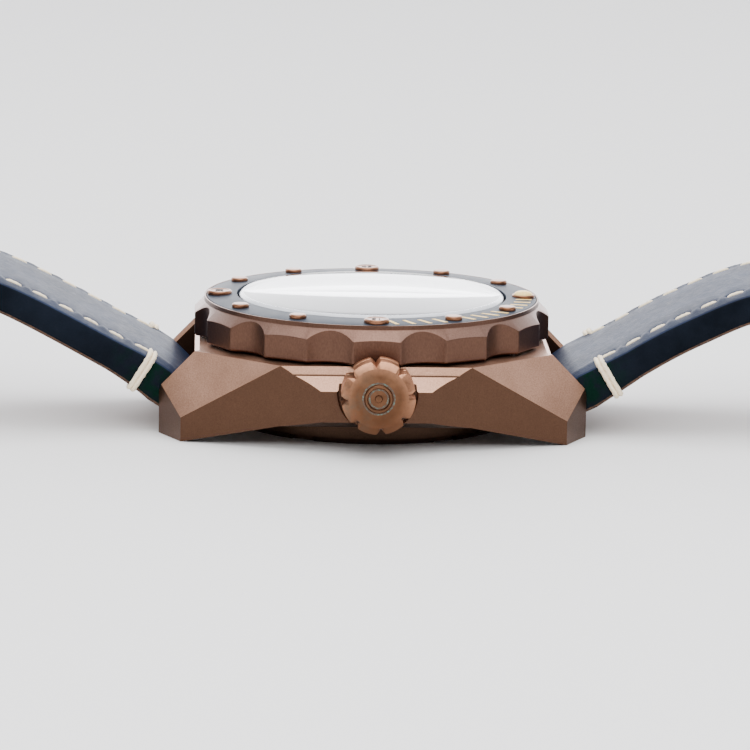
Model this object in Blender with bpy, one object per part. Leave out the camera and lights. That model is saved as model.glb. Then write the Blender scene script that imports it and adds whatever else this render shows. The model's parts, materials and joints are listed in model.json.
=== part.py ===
"""Dive watch on a two-piece leather strap, lying on its case back.

World frame: +X points to the crown (3 o'clock), +Y to 12 o'clock, +Z out of the crystal.
The origin is on the dial's axis, in the plane that the case back and the lug tips rest on.
All sizes below are in millimetres; add_object() turns them into metres.
"""
import math

import bmesh
import bpy
from mathutils import Matrix, Vector
from mathutils.geometry import tessellate_polygon

MM = 0.001

# ---------------------------------------------------------------- driving dimensions
# Case and lugs
STRAP_WIDTH = 22.0
CASE_TOP = 10.09
CASE_BOTTOM = 2.84
CASE_END_Y = 21.43
LUG_INNER_X = STRAP_WIDTH / 2
LUG_RIDGE_X = LUG_INNER_X + 0.5
LUG_TIP_RIDGE_Y = 25.43
LUG_CORNER = (16.3, 23.04)
LUG_CORNER_TOP = 2.91
WAIST = (20.55, 11.33)
GUARD_X = 22.6
GUARD_HALF_Y = 6.55
GUARD_CONTROL = (21.15, 8.95)
GUARD_STEP = (21.06, 9.09)
GUARD_EDGE_TOP = 7.45
GUARD_EDGE_BOTTOM = 3.75
PLAIN_SIDE_BULGE = 0.7

# Bores of the case, from the back to the crystal
THREAD_BORE_R = 15.9
THREAD_BORE_TOP = 4.2
MOVEMENT_BORE_R = 14.6
DIAL_SEAT_Z = 9.0
DIAL_BORE_R = 15.2
CRYSTAL_SEAT_Z = 12.1
CRYSTAL_BORE_R = 16.45
NECK_R = 17.1
NECK_TOP = 14.1

# Screw-in case back, with notches for its key
BACK_R = 17.6
BACK_THICKNESS = 2.45
BACK_BEVEL = 0.7
BACK_PLATE_TOP = 2.1
COLLAR_R = 15.55
COLLAR_BORE_R = 14.9
COLLAR_TOP = 4.0
KEY_NOTCHES = 6
KEY_NOTCH_CIRCLE_R = 16.4
KEY_NOTCH_SIZE = (2.0, 3.0, 1.4)

# Bezel
BEZEL_FLAT_R = 21.5
BEZEL_BOTTOM = 10.38
BEZEL_WALL_TOP = 13.36
BEZEL_BEVEL_TOP = 14.43
BEZEL_LIP_R = 20.36
BEZEL_LIP_TOP = 14.97
BEZEL_LIP_WALL = 0.22
BEZEL_BORE_R = 17.4
BEZEL_SEAT_Z = 14.3
BEZEL_SCALLOPS = 12
SCALLOP_HALF_ANGLE = 7.5
SCALLOP_DEPTH = 0.95
INSERT_INNER_R = 16.4
INSERT_THICKNESS = 0.55
INSERT_OUTER_TOP = 14.98
INSERT_INNER_TOP = 15.2
STUD_CIRCLE_R = 18.5
STUD_TOP = 15.54
PIP_TOP = 15.85
PIP_COLLAR_TOP = 15.4
PIP_DOME_R = 1.15
BIG_STUD_R = 1.4
SMALL_STUD_R = 1.0
STUD_CLEARANCE = 0.05

# Crystal
CRYSTAL_R = 16.1
CRYSTAL_EDGE_TOP = 15.05
CRYSTAL_CHAMFER = 0.35
CRYSTAL_DOME = 1.1
CRYSTAL_BOTTOM = 12.4

# Crown and stem, on an axis along X
CROWN_Z = 7.33
CROWN_Y = 0.15
CROWN_R = 4.38
CROWN_INNER_X = 22.1
CROWN_FACE_X = 26.3
CROWN_NOTCHES = 8
CROWN_NOTCH_DEPTH = 0.8
CROWN_NOTCH_HALF_ANGLE = 7.5
CROWN_POCKET_R = 4.65
CROWN_POCKET_X = 21.8
CROWN_BORE_R = 1.75
TUBE_R = 1.25
TUBE_BORE_R = 0.75
STEM_R = 0.45

# Movement, an automatic of 11.5 lignes
MOVEMENT_R = 12.8
PLATE_BOTTOM = 7.3
PLATE_TOP = 8.4
BRIDGE_BOTTOM = 4.55
BRIDGE_TOP = 5.15
TRAIN_DISTANCE = 4.0
BARREL_DISTANCE = 5.46
MOTION_DISTANCE = 3.4
THIRD_ANGLE = -40.0
ESCAPE_ANGLE = -130.0
ESCAPE_TEETH = 15
ESCAPE_ROOT_R = 1.55
ESCAPE_TIP_R = 2.05
PALLET_DISTANCE = 2.9
PALLET_ANGLE = 200.0
BALANCE_DISTANCE = 2.6
BALANCE_ANGLE = 250.0
BALANCE_R = 3.3
BARREL_ANGLE = 125.0
MINUTE_WHEEL_ANGLE = 40.0
WHEEL_THICKNESS = 0.25
TEETH = {
    "barrel": 60, "centre_pinion": 10,
    "centre_wheel": 48, "third_pinion": 6,
    "third_wheel": 45, "fourth_pinion": 6,
    "fourth_wheel": 42, "escape_pinion": 6,
    "cannon_pinion": 10, "minute_wheel": 30,
    "minute_pinion": 8, "hour_wheel": 32,
}

# Dial and hands; angles are clockwise from 12
DIAL_R = 14.9
DIAL_BOTTOM = 9.04
DIAL_TOP = 9.38
DIAL_HOLE_R = 1.3
HOUR_HAND_ANGLE = 304.5
MINUTE_HAND_ANGLE = 54.0
SECOND_HAND_ANGLE = 210.0

# Strap and buckle; routes are the strap's middle line in the YZ plane, from the spring bar outwards
BAR_Y = 23.7
BAR_Z = 4.2
BAR_R = 0.75
STRAP_HALF_WIDTH = 10.8
STRAP_END_HALF_WIDTH = 10.0
BUCKLE_Y = 99.0
BUCKLE_Z = 1.85
BUCKLE_BAR_R = 0.6
BUCKLE_ARM_INNER_X = 10.35
BUCKLE_ARM_OUTER_X = 12.6
BUCKLE_FRONT_Y = 110.5
BUCKLE_BOTTOM = 0.1
BUCKLE_TOP = 2.9
STRAP_SLOPE = 0.107
STRAP_12_ROUTE = [
    (BAR_Y, BAR_Z), (28.4, 7.0), (34.5, 10.7), (39.2, 13.1), (45.0, 15.6), (51.0, 16.9), (57.0, 16.0),
    (62.5, 12.7), (67.3, 8.5), (71.3, 5.7), (75.5, 4.37), (82.0, 3.67), (90.0, 2.81), (BUCKLE_Y, BUCKLE_Z),
]
STRAP_6_ROUTE = [
    (BAR_Y, BAR_Z), (28.0, 7.35), (34.7, 11.1), (41.4, 14.6), (46.0, 16.6), (54.0, 19.3), (64.0, 20.4),
    (75.0, 18.6), (86.0, 13.6), (96.0, 7.6), (105.0, 3.4), (114.0, 1.75), (124.0, 1.5), (134.0, 1.5),
]
TAIL_HOLES = 7
TAIL_HOLE_PITCH = 6.5
TAIL_HOLE_R = 0.95
FIRST_TAIL_HOLE = 58.0
TONGUE_SLOT_HALF_WIDTH = 1.8
FIXED_KEEPER_Y = 87.3
FIXED_KEEPER_LENGTH = 5.0
SLIDING_KEEPER_Y = 80.0
SLIDING_KEEPER_LENGTH = 5.5
KEEPER_WALL = 0.9


# ---------------------------------------------------------------- materials
def make_material(name, colour, roughness, metallic):
    material = bpy.data.materials.new(name)
    material.use_nodes = True
    shader = material.node_tree.nodes["Principled BSDF"]
    shader.inputs["Base Color"].default_value = (*colour, 1.0)
    shader.inputs["Roughness"].default_value = roughness
    shader.inputs["Metallic"].default_value = metallic
    return material


# ---------------------------------------------------------------- building blocks
def add_object(name, bm, material, pivot=(0.0, 0.0, 0.0), smooth=True):
    """Turn a bmesh drawn in millimetres into an object in metres whose origin is the pivot."""
    bmesh.ops.recalc_face_normals(bm, faces=bm.faces)
    for vertex in bm.verts:
        vertex.co = (vertex.co - Vector(pivot)) * MM
    mesh = bpy.data.meshes.new(name)
    bm.to_mesh(mesh)
    bm.free()
    mesh.materials.append(material)
    if smooth:
        mesh.shade_smooth()
        mesh.set_sharp_from_angle(angle=math.radians(30))
    obj = bpy.data.objects.new(name, mesh)
    obj.location = Vector(pivot) * MM
    bpy.context.collection.objects.link(obj)
    return obj


def add_cutter(name, bm):
    """A closed tool body for a Boolean, left out of the model itself."""
    cutter = add_object(name, bm, MATERIALS["steel"], smooth=False)
    cutter.hide_render = True
    cutter.display_type = "WIRE"
    return cutter


def apply_tool(obj, tool, operation="DIFFERENCE"):
    modifier = obj.modifiers.new(tool.name, "BOOLEAN")
    modifier.operation = operation
    modifier.solver = "EXACT"
    modifier.object = tool


def circle(radius, count, centre=(0.0, 0.0)):
    """Points of a regular polygon, anticlockwise."""
    points = []
    for i in range(count):
        angle = 2 * math.pi * i / count
        points.append((centre[0] + radius * math.cos(angle), centre[1] + radius * math.sin(angle)))
    return points


def gear(teeth, module, phase, centre=(0.0, 0.0)):
    """Outline of a gear with slim pointed teeth; one tooth points along phase, in degrees."""
    pitch_radius = teeth * module / 2
    root = pitch_radius - 0.75 * module
    tip = pitch_radius + 0.6 * module
    half_base = 0.28 * 2 * math.pi / teeth
    points = []
    for i in range(teeth):
        middle = math.radians(phase) + 2 * math.pi * i / teeth
        for radius, angle in ((root, middle - half_base), (tip, middle), (root, middle + half_base)):
            points.append((centre[0] + radius * math.cos(angle), centre[1] + radius * math.sin(angle)))
    return points


def spiral(inner, outer, turns, width, steps):
    """Outline of a flat coiled ribbon; steps is the number of corners in each turn."""
    count = turns * steps
    edge = []
    for i in range(count + 1):
        edge.append((inner + (outer - inner) * i / count, 360 * i / steps))
    far = [polar(radius + width, angle) for radius, angle in edge]
    near = [polar(radius, angle) for radius, angle in reversed(edge)]
    return far + near


def polar(distance, angle):
    return (distance * math.cos(math.radians(angle)), distance * math.sin(math.radians(angle)))


def ring_at(bm, outline, height):
    """Vertices of one closed outline at a height."""
    return [bm.verts.new((x, y, height)) for x, y in outline]


def join_rings(bm, lower, upper):
    for i in range(len(lower)):
        bm.faces.new((lower[i - 1], lower[i], upper[i], upper[i - 1]))


def fill_between(bm, rings):
    """Triangles over the area inside the first ring and outside the others, all at one height."""
    verts = [vertex for ring in rings for vertex in ring]
    for corners in tessellate_polygon([[vertex.co for vertex in ring] for ring in rings]):
        bm.faces.new([verts[i] for i in corners])


def stack(bm, layers, holes=()):
    """Prisms stacked along Z, each outline inside or around the next; holes run through them all.

    layers is a list of (outline, bottom, top) from the lowest up.
    """
    hole_bottoms = [ring_at(bm, hole, layers[0][1]) for hole in holes]
    hole_tops = [ring_at(bm, hole, layers[-1][2]) for hole in holes]
    previous = None
    for outline, bottom, top in layers:
        lower = ring_at(bm, outline, bottom)
        upper = ring_at(bm, outline, top)
        if previous is None:
            fill_between(bm, [lower] + hole_bottoms)
        else:
            fill_between(bm, sorted((previous, lower), key=ring_reach, reverse=True))
        join_rings(bm, lower, upper)
        previous = upper
    fill_between(bm, [previous] + hole_tops)
    for lower, upper in zip(hole_bottoms, hole_tops):
        join_rings(bm, lower, upper)


def ring_reach(ring):
    """Half the extent of a ring, to tell the outer of two nested ones."""
    xs = [vertex.co.x for vertex in ring]
    return max(xs) - min(xs)


def stacked(name, layers, material, holes=(), pivot=(0.0, 0.0, 0.0)):
    bm = bmesh.new()
    stack(bm, layers, holes)
    return add_object(name, bm, material, pivot)


def turn(bm, profile, segments):
    """Spin a closed (radius, height) profile about Z; points on the axis are welded."""
    verts = [bm.verts.new((radius, 0.0, height)) for radius, height in profile]
    edges = [bm.edges.new((verts[i - 1], verts[i])) for i in range(len(verts))]
    bmesh.ops.spin(
        bm, geom=verts + edges, axis=(0, 0, 1), cent=(0, 0, 0),
        angle=2 * math.pi, steps=segments, use_merge=True,
    )
    on_axis = [v for v in bm.verts if math.hypot(v.co.x, v.co.y) < 1e-4]
    bmesh.ops.remove_doubles(bm, verts=on_axis, dist=1e-4)
    bmesh.ops.dissolve_degenerate(bm, dist=1e-5, edges=bm.edges)
    loose = [e for e in bm.edges if not e.link_faces]
    bmesh.ops.delete(bm, geom=loose, context="EDGES")


def turned(name, profile, segments, material):
    bm = bmesh.new()
    turn(bm, profile, segments)
    return add_object(name, bm, material)


def ring_profile(inner, outer, bottom, top):
    return [(inner, bottom), (outer, bottom), (outer, top), (inner, top)]


def along_x(y, z):
    """Places a shape drawn along Z so that it runs along X, through the given y and z."""
    return Matrix.Translation((0.0, y, z)) @ Matrix.Rotation(math.radians(90), 4, "Y")


def rod(bm, radius, start, end, segments, y, z):
    """A round bar along X."""
    turn(bm, [(0.0, start), (radius, start), (radius, end), (0.0, end)], segments)
    bmesh.ops.transform(bm, matrix=along_x(y, z), verts=bm.verts)


def hull(bm, points):
    verts = [bm.verts.new(point) for point in points]
    bmesh.ops.convex_hull(bm, input=verts)


def slice_off(bm, point, normal):
    """Cut away everything on the normal's side of a plane, and close the cut."""
    geometry = bm.verts[:] + bm.edges[:] + bm.faces[:]
    result = bmesh.ops.bisect_plane(
        bm, geom=geometry, plane_co=point, plane_no=normal, dist=1e-5, clear_outer=True,
    )
    cut_edges = [g for g in result["geom_cut"] if isinstance(g, bmesh.types.BMEdge)]
    bmesh.ops.holes_fill(bm, edges=cut_edges, sides=0)


def loft(bm, rings):
    """Skin a row of equal rings of points, and close both ends."""
    loops = [[bm.verts.new(point) for point in ring] for ring in rings]
    for lower, upper in zip(loops, loops[1:]):
        join_rings(bm, lower, upper)
    bm.faces.new(loops[0])
    bm.faces.new(loops[-1])


# ---------------------------------------------------------------- case
def case_outline():
    """The case from above, anticlockwise, with its two crown guards on the +X side."""
    slope = (LUG_CORNER[1] - LUG_TIP_RIDGE_Y) / (LUG_CORNER[0] - LUG_RIDGE_X)
    tip = (LUG_INNER_X, LUG_CORNER[1] + slope * (LUG_INNER_X - LUG_CORNER[0]))
    lug = [(LUG_INNER_X, CASE_END_Y), tip, LUG_CORNER, WAIST]
    guard = []
    for i in range(1, 5):
        t = i / 4
        x = (1 - t) ** 2 * WAIST[0] + 2 * t * (1 - t) * GUARD_CONTROL[0] + t ** 2 * GUARD_X
        y = (1 - t) ** 2 * WAIST[1] + 2 * t * (1 - t) * GUARD_CONTROL[1] + t ** 2 * GUARD_HALF_Y
        guard.append((x, y))
    plain = []
    for i in range(1, 4):
        y = WAIST[1] * (1 - i / 4)
        plain.append((WAIST[0] + PLAIN_SIDE_BULGE * (1 - (y / WAIST[1]) ** 2), y))
    crown_side = lug + guard
    left_side = lug + plain
    outline = crown_side + [(x, -y) for x, y in reversed(crown_side)]
    outline += [(-x, -y) for x, y in left_side]
    outline += [(-WAIST[0] - PLAIN_SIDE_BULGE, 0.0)]
    outline += [(-x, y) for x, y in reversed(left_side)]
    return outline[::-1]


def slice_lug_facets(bm):
    """The sloping top facet of each lug passes through its ridge, its corner and the waist."""
    for side_x in (1, -1):
        for side_y in (1, -1):
            ridge = Vector((side_x * LUG_RIDGE_X, side_y * CASE_END_Y, CASE_TOP))
            waist = Vector((side_x * WAIST[0], side_y * WAIST[1], CASE_TOP))
            corner = Vector((side_x * LUG_CORNER[0], side_y * LUG_CORNER[1], LUG_CORNER_TOP))
            normal = (waist - ridge).cross(corner - ridge)
            if normal.z < 0:
                normal = -normal
            slice_off(bm, ridge, normal)


def slice_plain_shoulder(bm):
    """The steep shoulder above the flank that has no crown."""
    rise = CASE_TOP - GUARD_STEP[1]
    run = GUARD_STEP[0] - WAIST[0]
    slice_off(bm, (-WAIST[0], 0.0, CASE_TOP), (-rise, 0.0, run))


def guard_top_cutter():
    """Cuts the crown side's steep shoulder and, below its step, the gentler slope to the guards' edge."""
    shoulder = Vector((WAIST[0], CASE_TOP))
    step = Vector(GUARD_STEP)
    edge = Vector((GUARD_X, GUARD_EDGE_TOP))
    start = shoulder + 0.4 * (shoulder - step)
    end = edge + 0.4 * (edge - step)
    far_x = GUARD_X + 3.0
    section = [tuple(start), tuple(step), tuple(end), (far_x, end.y), (far_x, start.y)]
    bm = bmesh.new()
    stack(bm, [(section, -WAIST[1] - 1.0, WAIST[1] + 1.0)])
    upright = Matrix(((1, 0, 0, 0), (0, 0, 1, 0), (0, 1, 0, 0), (0, 0, 0, 1)))
    bmesh.ops.transform(bm, matrix=upright, verts=bm.verts)
    return add_cutter("guard_top_cutter", bm)


def underside_cutters():
    """Hollow the underside so that it rises from the lug tips' lower edges to the mid-case."""
    edge = (LUG_CORNER[0] - LUG_RIDGE_X) / (LUG_TIP_RIDGE_Y - LUG_CORNER[1])
    half_x = LUG_CORNER[0] + LUG_CORNER[1] * edge
    half_y = half_x / edge
    waist_x = WAIST[0] + WAIST[1] * edge
    shrink = (half_x - waist_x) / half_x
    bm = bmesh.new()
    points = []
    for height in (-1.0, CASE_BOTTOM):
        scale = 1 - shrink * height / CASE_BOTTOM
        for x, y in ((half_x, 0), (-half_x, 0), (0, half_y), (0, -half_y)):
            points.append((x * scale, y * scale, height))
    hull(bm, points)
    hollow = add_cutter("underside_cutter", bm)
    bm = bmesh.new()
    reach = 2.0
    far_x = GUARD_X + reach
    far_z = GUARD_EDGE_BOTTOM + reach * (GUARD_EDGE_BOTTOM - CASE_BOTTOM) / (GUARD_X - WAIST[0])
    wedge = []
    for y in (-WAIST[1], WAIST[1]):
        wedge += [(WAIST[0], y, CASE_BOTTOM), (far_x, y, far_z), (far_x, y, 0.0), (WAIST[0], y, 0.0)]
    hull(bm, wedge)
    return hollow, add_cutter("guard_cutter", bm)


def build_case_body():
    bm = bmesh.new()
    stack(bm, [(case_outline(), 0.0, CASE_TOP)])
    slice_lug_facets(bm)
    slice_plain_shoulder(bm)
    case = add_object("case_body", bm, MATERIALS["bronze"])
    apply_tool(case, guard_top_cutter())
    bm = bmesh.new()
    turn(bm, [(0.0, CASE_TOP - 1), (NECK_R, CASE_TOP - 1), (NECK_R, NECK_TOP), (0.0, NECK_TOP)], 48)
    apply_tool(case, add_cutter("neck_tool", bm), "UNION")
    for cutter in underside_cutters():
        apply_tool(case, cutter)
    bm = bmesh.new()
    steps = [
        (0.0, -2.0), (THREAD_BORE_R, -2.0), (THREAD_BORE_R, THREAD_BORE_TOP),
        (MOVEMENT_BORE_R, THREAD_BORE_TOP), (MOVEMENT_BORE_R, DIAL_SEAT_Z), (DIAL_BORE_R, DIAL_SEAT_Z),
        (DIAL_BORE_R, CRYSTAL_SEAT_Z), (CRYSTAL_BORE_R, CRYSTAL_SEAT_Z), (CRYSTAL_BORE_R, 16.0), (0.0, 16.0),
    ]
    turn(bm, steps, 48)
    apply_tool(case, add_cutter("bore_cutter", bm))
    bm = bmesh.new()
    rod(bm, CROWN_POCKET_R, CROWN_POCKET_X, 30.0, 32, CROWN_Y, CROWN_Z)
    apply_tool(case, add_cutter("crown_pocket_cutter", bm))
    bm = bmesh.new()
    rod(bm, TUBE_R + 0.08, 12.0, 23.0, 16, CROWN_Y, CROWN_Z)
    apply_tool(case, add_cutter("tube_cutter", bm))
    for side in (1, -1):
        bm = bmesh.new()
        rod(bm, 0.6, -LUG_INNER_X - 1.3, LUG_INNER_X + 1.3, 12, side * BAR_Y, BAR_Z)
        apply_tool(case, add_cutter("bar_hole_cutter_%s" % ("12" if side > 0 else "6"), bm))


def build_case_back():
    """Screw-in back: a thick plate, its threaded collar, and six notches for the case key."""
    bm = bmesh.new()
    profile = [
        (0.0, 0.0), (BACK_R - BACK_BEVEL, 0.0), (BACK_R, BACK_BEVEL), (BACK_R, BACK_THICKNESS),
        (COLLAR_R, BACK_THICKNESS), (COLLAR_R, COLLAR_TOP), (COLLAR_BORE_R, COLLAR_TOP),
        (COLLAR_BORE_R, BACK_PLATE_TOP), (0.0, BACK_PLATE_TOP),
    ]
    turn(bm, profile, 36)
    back = add_object("case_back", bm, MATERIALS["bronze"])
    notch_centre_r = KEY_NOTCH_CIRCLE_R + KEY_NOTCH_SIZE[0] / 2
    for i in range(KEY_NOTCHES):
        angle = 360 / KEY_NOTCHES * (i + 0.5)
        bm = bmesh.new()
        bmesh.ops.create_cube(bm, size=1.0)
        bmesh.ops.scale(bm, vec=KEY_NOTCH_SIZE, verts=bm.verts)
        place = Matrix.Rotation(math.radians(angle), 4, "Z") @ Matrix.Translation((notch_centre_r, 0.0, 0.0))
        bmesh.ops.transform(bm, matrix=place, verts=bm.verts)
        apply_tool(back, add_cutter("key_notch_cutter_%d" % (i + 1), bm))
    turned("case_back_gasket", ring_profile(16.2, 17.0, 2.52, 2.77), 32, MATERIALS["rubber"])


def build_crystal():
    """Thick domed sapphire with a bevelled edge, its seal, and the sloping ring above the dial."""
    bevel_r = CRYSTAL_R - CRYSTAL_CHAMFER
    bevel_top = CRYSTAL_EDGE_TOP + CRYSTAL_CHAMFER
    profile = [(0.0, CRYSTAL_BOTTOM), (CRYSTAL_R, CRYSTAL_BOTTOM), (CRYSTAL_R, CRYSTAL_EDGE_TOP)]
    for i in range(4):
        radius = bevel_r * (1 - i / 4)
        profile.append((radius, bevel_top + CRYSTAL_DOME * (1 - (radius / bevel_r) ** 2)))
    profile.append((0.0, bevel_top + CRYSTAL_DOME))
    turned("crystal", profile, 40, MATERIALS["glass"])
    turned("crystal_gasket", ring_profile(CRYSTAL_R + 0.04, CRYSTAL_BORE_R - 0.08, 12.4, 14.0), 40,
           MATERIALS["rubber"])
    chapter = [(13.9, 9.45), (15.05, 9.45), (15.05, 12.0), (14.8, 12.0)]
    turned("chapter_ring", chapter, 36, MATERIALS["dial"])


# ---------------------------------------------------------------- bezel
def bezel_outline():
    """Radius of the bezel's wall round the circle: twelve flats with twelve hollows between them."""
    period = 360 / BEZEL_SCALLOPS
    half_chord = BEZEL_FLAT_R * math.tan(math.radians(SCALLOP_HALF_ANGLE))
    arc_r = (half_chord ** 2 + SCALLOP_DEPTH ** 2) / (2 * SCALLOP_DEPTH)
    arc_centre = BEZEL_FLAT_R - SCALLOP_DEPTH + arc_r
    sweep = math.asin(half_chord / arc_r)
    outline = []
    for i in range(BEZEL_SCALLOPS):
        turn_by = Matrix.Rotation(math.radians(i * period + period / 2), 2)
        for k in range(-2, 3):
            angle = sweep * k / 2
            x = arc_centre - arc_r * math.cos(angle)
            outline.append(turn_by @ Vector((x, arc_r * math.sin(angle))))
        outline.append(Vector(polar(BEZEL_FLAT_R, (i + 1) * period)))
    return outline


def build_bezel():
    """The rings of the loft run round the bezel's section, so every station has the same points."""
    bevel_slope = (BEZEL_BEVEL_TOP - BEZEL_WALL_TOP) / (BEZEL_FLAT_R - BEZEL_LIP_R)
    lip_inner = BEZEL_LIP_R - BEZEL_LIP_WALL
    bm = bmesh.new()
    sections = []
    for point in bezel_outline():
        radius = point.length
        wall_top = BEZEL_BEVEL_TOP - (radius - BEZEL_LIP_R) * bevel_slope
        section = [
            (BEZEL_BORE_R, BEZEL_BOTTOM), (radius - 0.2, BEZEL_BOTTOM), (radius, BEZEL_BOTTOM + 0.2),
            (radius, wall_top), (BEZEL_LIP_R, BEZEL_BEVEL_TOP), (BEZEL_LIP_R, BEZEL_LIP_TOP),
            (lip_inner, BEZEL_LIP_TOP), (lip_inner, BEZEL_SEAT_Z), (BEZEL_BORE_R, BEZEL_SEAT_Z),
        ]
        direction = point.normalized()
        sections.append([bm.verts.new((direction.x * r, direction.y * r, z)) for r, z in section])
    for i in range(len(sections)):
        join_rings(bm, sections[i - 1], sections[i])
    add_object("bezel_ring", bm, MATERIALS["bronze"])


def stud_radius(hour):
    return BIG_STUD_R if hour % 3 == 0 else SMALL_STUD_R


def stud_centre(hour):
    return polar(STUD_CIRCLE_R, 90 - 30 * hour)


def build_insert():
    """Ceramic ring with twelve round seats; its top rises slightly towards the crystal."""
    outer_r = BEZEL_LIP_R - BEZEL_LIP_WALL - 0.08
    bottom = INSERT_OUTER_TOP - INSERT_THICKNESS
    holes = [circle(stud_radius(h) + STUD_CLEARANCE, 12, stud_centre(h)) for h in range(1, 13)]
    holes.append(circle(INSERT_INNER_R, 48))
    bm = bmesh.new()
    stack(bm, [(circle(outer_r, 60), bottom, INSERT_OUTER_TOP)], holes)
    slope = (INSERT_INNER_TOP - INSERT_OUTER_TOP) / (outer_r - INSERT_INNER_R)
    for vertex in bm.verts:
        if vertex.co.z > bottom + 0.1:
            vertex.co.z += slope * (outer_r - math.hypot(vertex.co.x, vertex.co.y))
    add_object("bezel_insert", bm, MATERIALS["ceramic"])
    for hour in range(1, 13):
        name = "bezel_pip" if hour == 12 else "bezel_stud_%02d" % hour
        material = MATERIALS["lume"] if hour == 12 else MATERIALS["bronze"]
        layers = [(circle(stud_radius(hour), 12, stud_centre(hour)), bottom, STUD_TOP)]
        if hour == 12:
            layers = [(layers[0][0], bottom, PIP_COLLAR_TOP),
                      (circle(PIP_DOME_R, 12, stud_centre(hour)), PIP_COLLAR_TOP, PIP_TOP)]
        stacked(name, layers, material)


def build_bezel_fittings():
    """The snap wire between the neck and the bezel, and the leaf that clicks under the bezel."""
    arc = [polar(18.2, 250 + 10 * i) for i in range(6)]
    arc += [polar(19.2, 300 - 10 * i) for i in range(6)]
    stacked("bezel_click_spring", [(arc, CASE_TOP + 0.04, CASE_TOP + 0.22)], MATERIALS["steel"])
    turned("bezel_snap_wire", ring_profile(NECK_R + 0.05, BEZEL_BORE_R - 0.07, 11.6, 12.0), 48,
           MATERIALS["steel"])


# ---------------------------------------------------------------- crown and stem
def crown_outline():
    """Eight V notches cut across a round knob."""
    pitch = 360 / CROWN_NOTCHES
    outline = []
    for i in range(CROWN_NOTCHES):
        middle = pitch * i
        outline.append(polar(CROWN_R - CROWN_NOTCH_DEPTH, middle))
        for offset in (CROWN_NOTCH_HALF_ANGLE, pitch / 2, pitch - CROWN_NOTCH_HALF_ANGLE):
            outline.append(polar(CROWN_R, middle + offset))
    return outline


def build_crown():
    """Screw-down crown with its seal, the tube in the case, and the winding stem."""
    pivot = (CROWN_FACE_X, CROWN_Y, CROWN_Z)
    bm = bmesh.new()
    bore = circle(CROWN_BORE_R, 16)
    outline = crown_outline()
    rim = [(x * 0.9, y * 0.9) for x, y in outline]
    lower_bore = ring_at(bm, bore, CROWN_INNER_X)
    bore_end = ring_at(bm, bore, CROWN_FACE_X - 1.1)
    lower = ring_at(bm, outline, CROWN_INNER_X)
    shoulder = ring_at(bm, outline, CROWN_FACE_X - 0.5)
    face = ring_at(bm, rim, CROWN_FACE_X)
    fill_between(bm, [lower, lower_bore])
    join_rings(bm, lower, shoulder)
    join_rings(bm, shoulder, face)
    bm.faces.new(face)
    join_rings(bm, lower_bore, bore_end)
    bm.faces.new(bore_end)
    bmesh.ops.transform(bm, matrix=along_x(CROWN_Y, CROWN_Z), verts=bm.verts)
    add_object("crown", bm, MATERIALS["bronze"], pivot)

    bm = bmesh.new()
    turn(bm, ring_profile(TUBE_BORE_R, TUBE_R, 15.4, CROWN_FACE_X - 1.4), 16)
    bmesh.ops.transform(bm, matrix=along_x(CROWN_Y, CROWN_Z), verts=bm.verts)
    add_object("crown_tube", bm, MATERIALS["steel"], pivot)

    bm = bmesh.new()
    turn(bm, ring_profile(TUBE_R + 0.06, CROWN_BORE_R - 0.08, 23.0, 23.6), 16)
    bmesh.ops.transform(bm, matrix=along_x(CROWN_Y, CROWN_Z), verts=bm.verts)
    add_object("crown_gasket", bm, MATERIALS["rubber"], pivot)

    stem = [
        (0.0, 6.9), (STEM_R, 6.9), (STEM_R, 8.6), (0.25, 8.6), (0.25, 9.2), (STEM_R, 9.2),
        (STEM_R, CROWN_FACE_X - 1.2), (0.0, CROWN_FACE_X - 1.2),
    ]
    bm = bmesh.new()
    turn(bm, stem, 12)
    bmesh.ops.transform(bm, matrix=along_x(CROWN_Y, CROWN_Z), verts=bm.verts)
    add_object("winding_stem", bm, MATERIALS["steel"], pivot)

    lever = [(8.4, -2.3), (9.4, -2.3), (9.4, 0.7), (8.4, 0.7)]
    tab = [(8.75, -0.3), (9.05, -0.3), (9.05, 0.5), (8.75, 0.5)]
    stacked("setting_lever", [(lever, 6.3, 6.6), (tab, 6.6, CROWN_Z - 0.32)], MATERIALS["steel"])


# ---------------------------------------------------------------- movement
def gear_module(wheel, pinion, distance):
    return 2 * distance / (TEETH[wheel] + TEETH[pinion])


def wheel_outline(name, module, toward, centre=(0.0, 0.0)):
    """A gear with a tooth on the line to its mate, which lies at the angle toward."""
    return gear(TEETH[name], module, toward, centre)


def pinion_outline(name, module, toward, centre=(0.0, 0.0)):
    """A gear with a gap on the line to its mate, so that the two are in mesh."""
    return gear(TEETH[name], module, toward + 180 / TEETH[name], centre)


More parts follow.
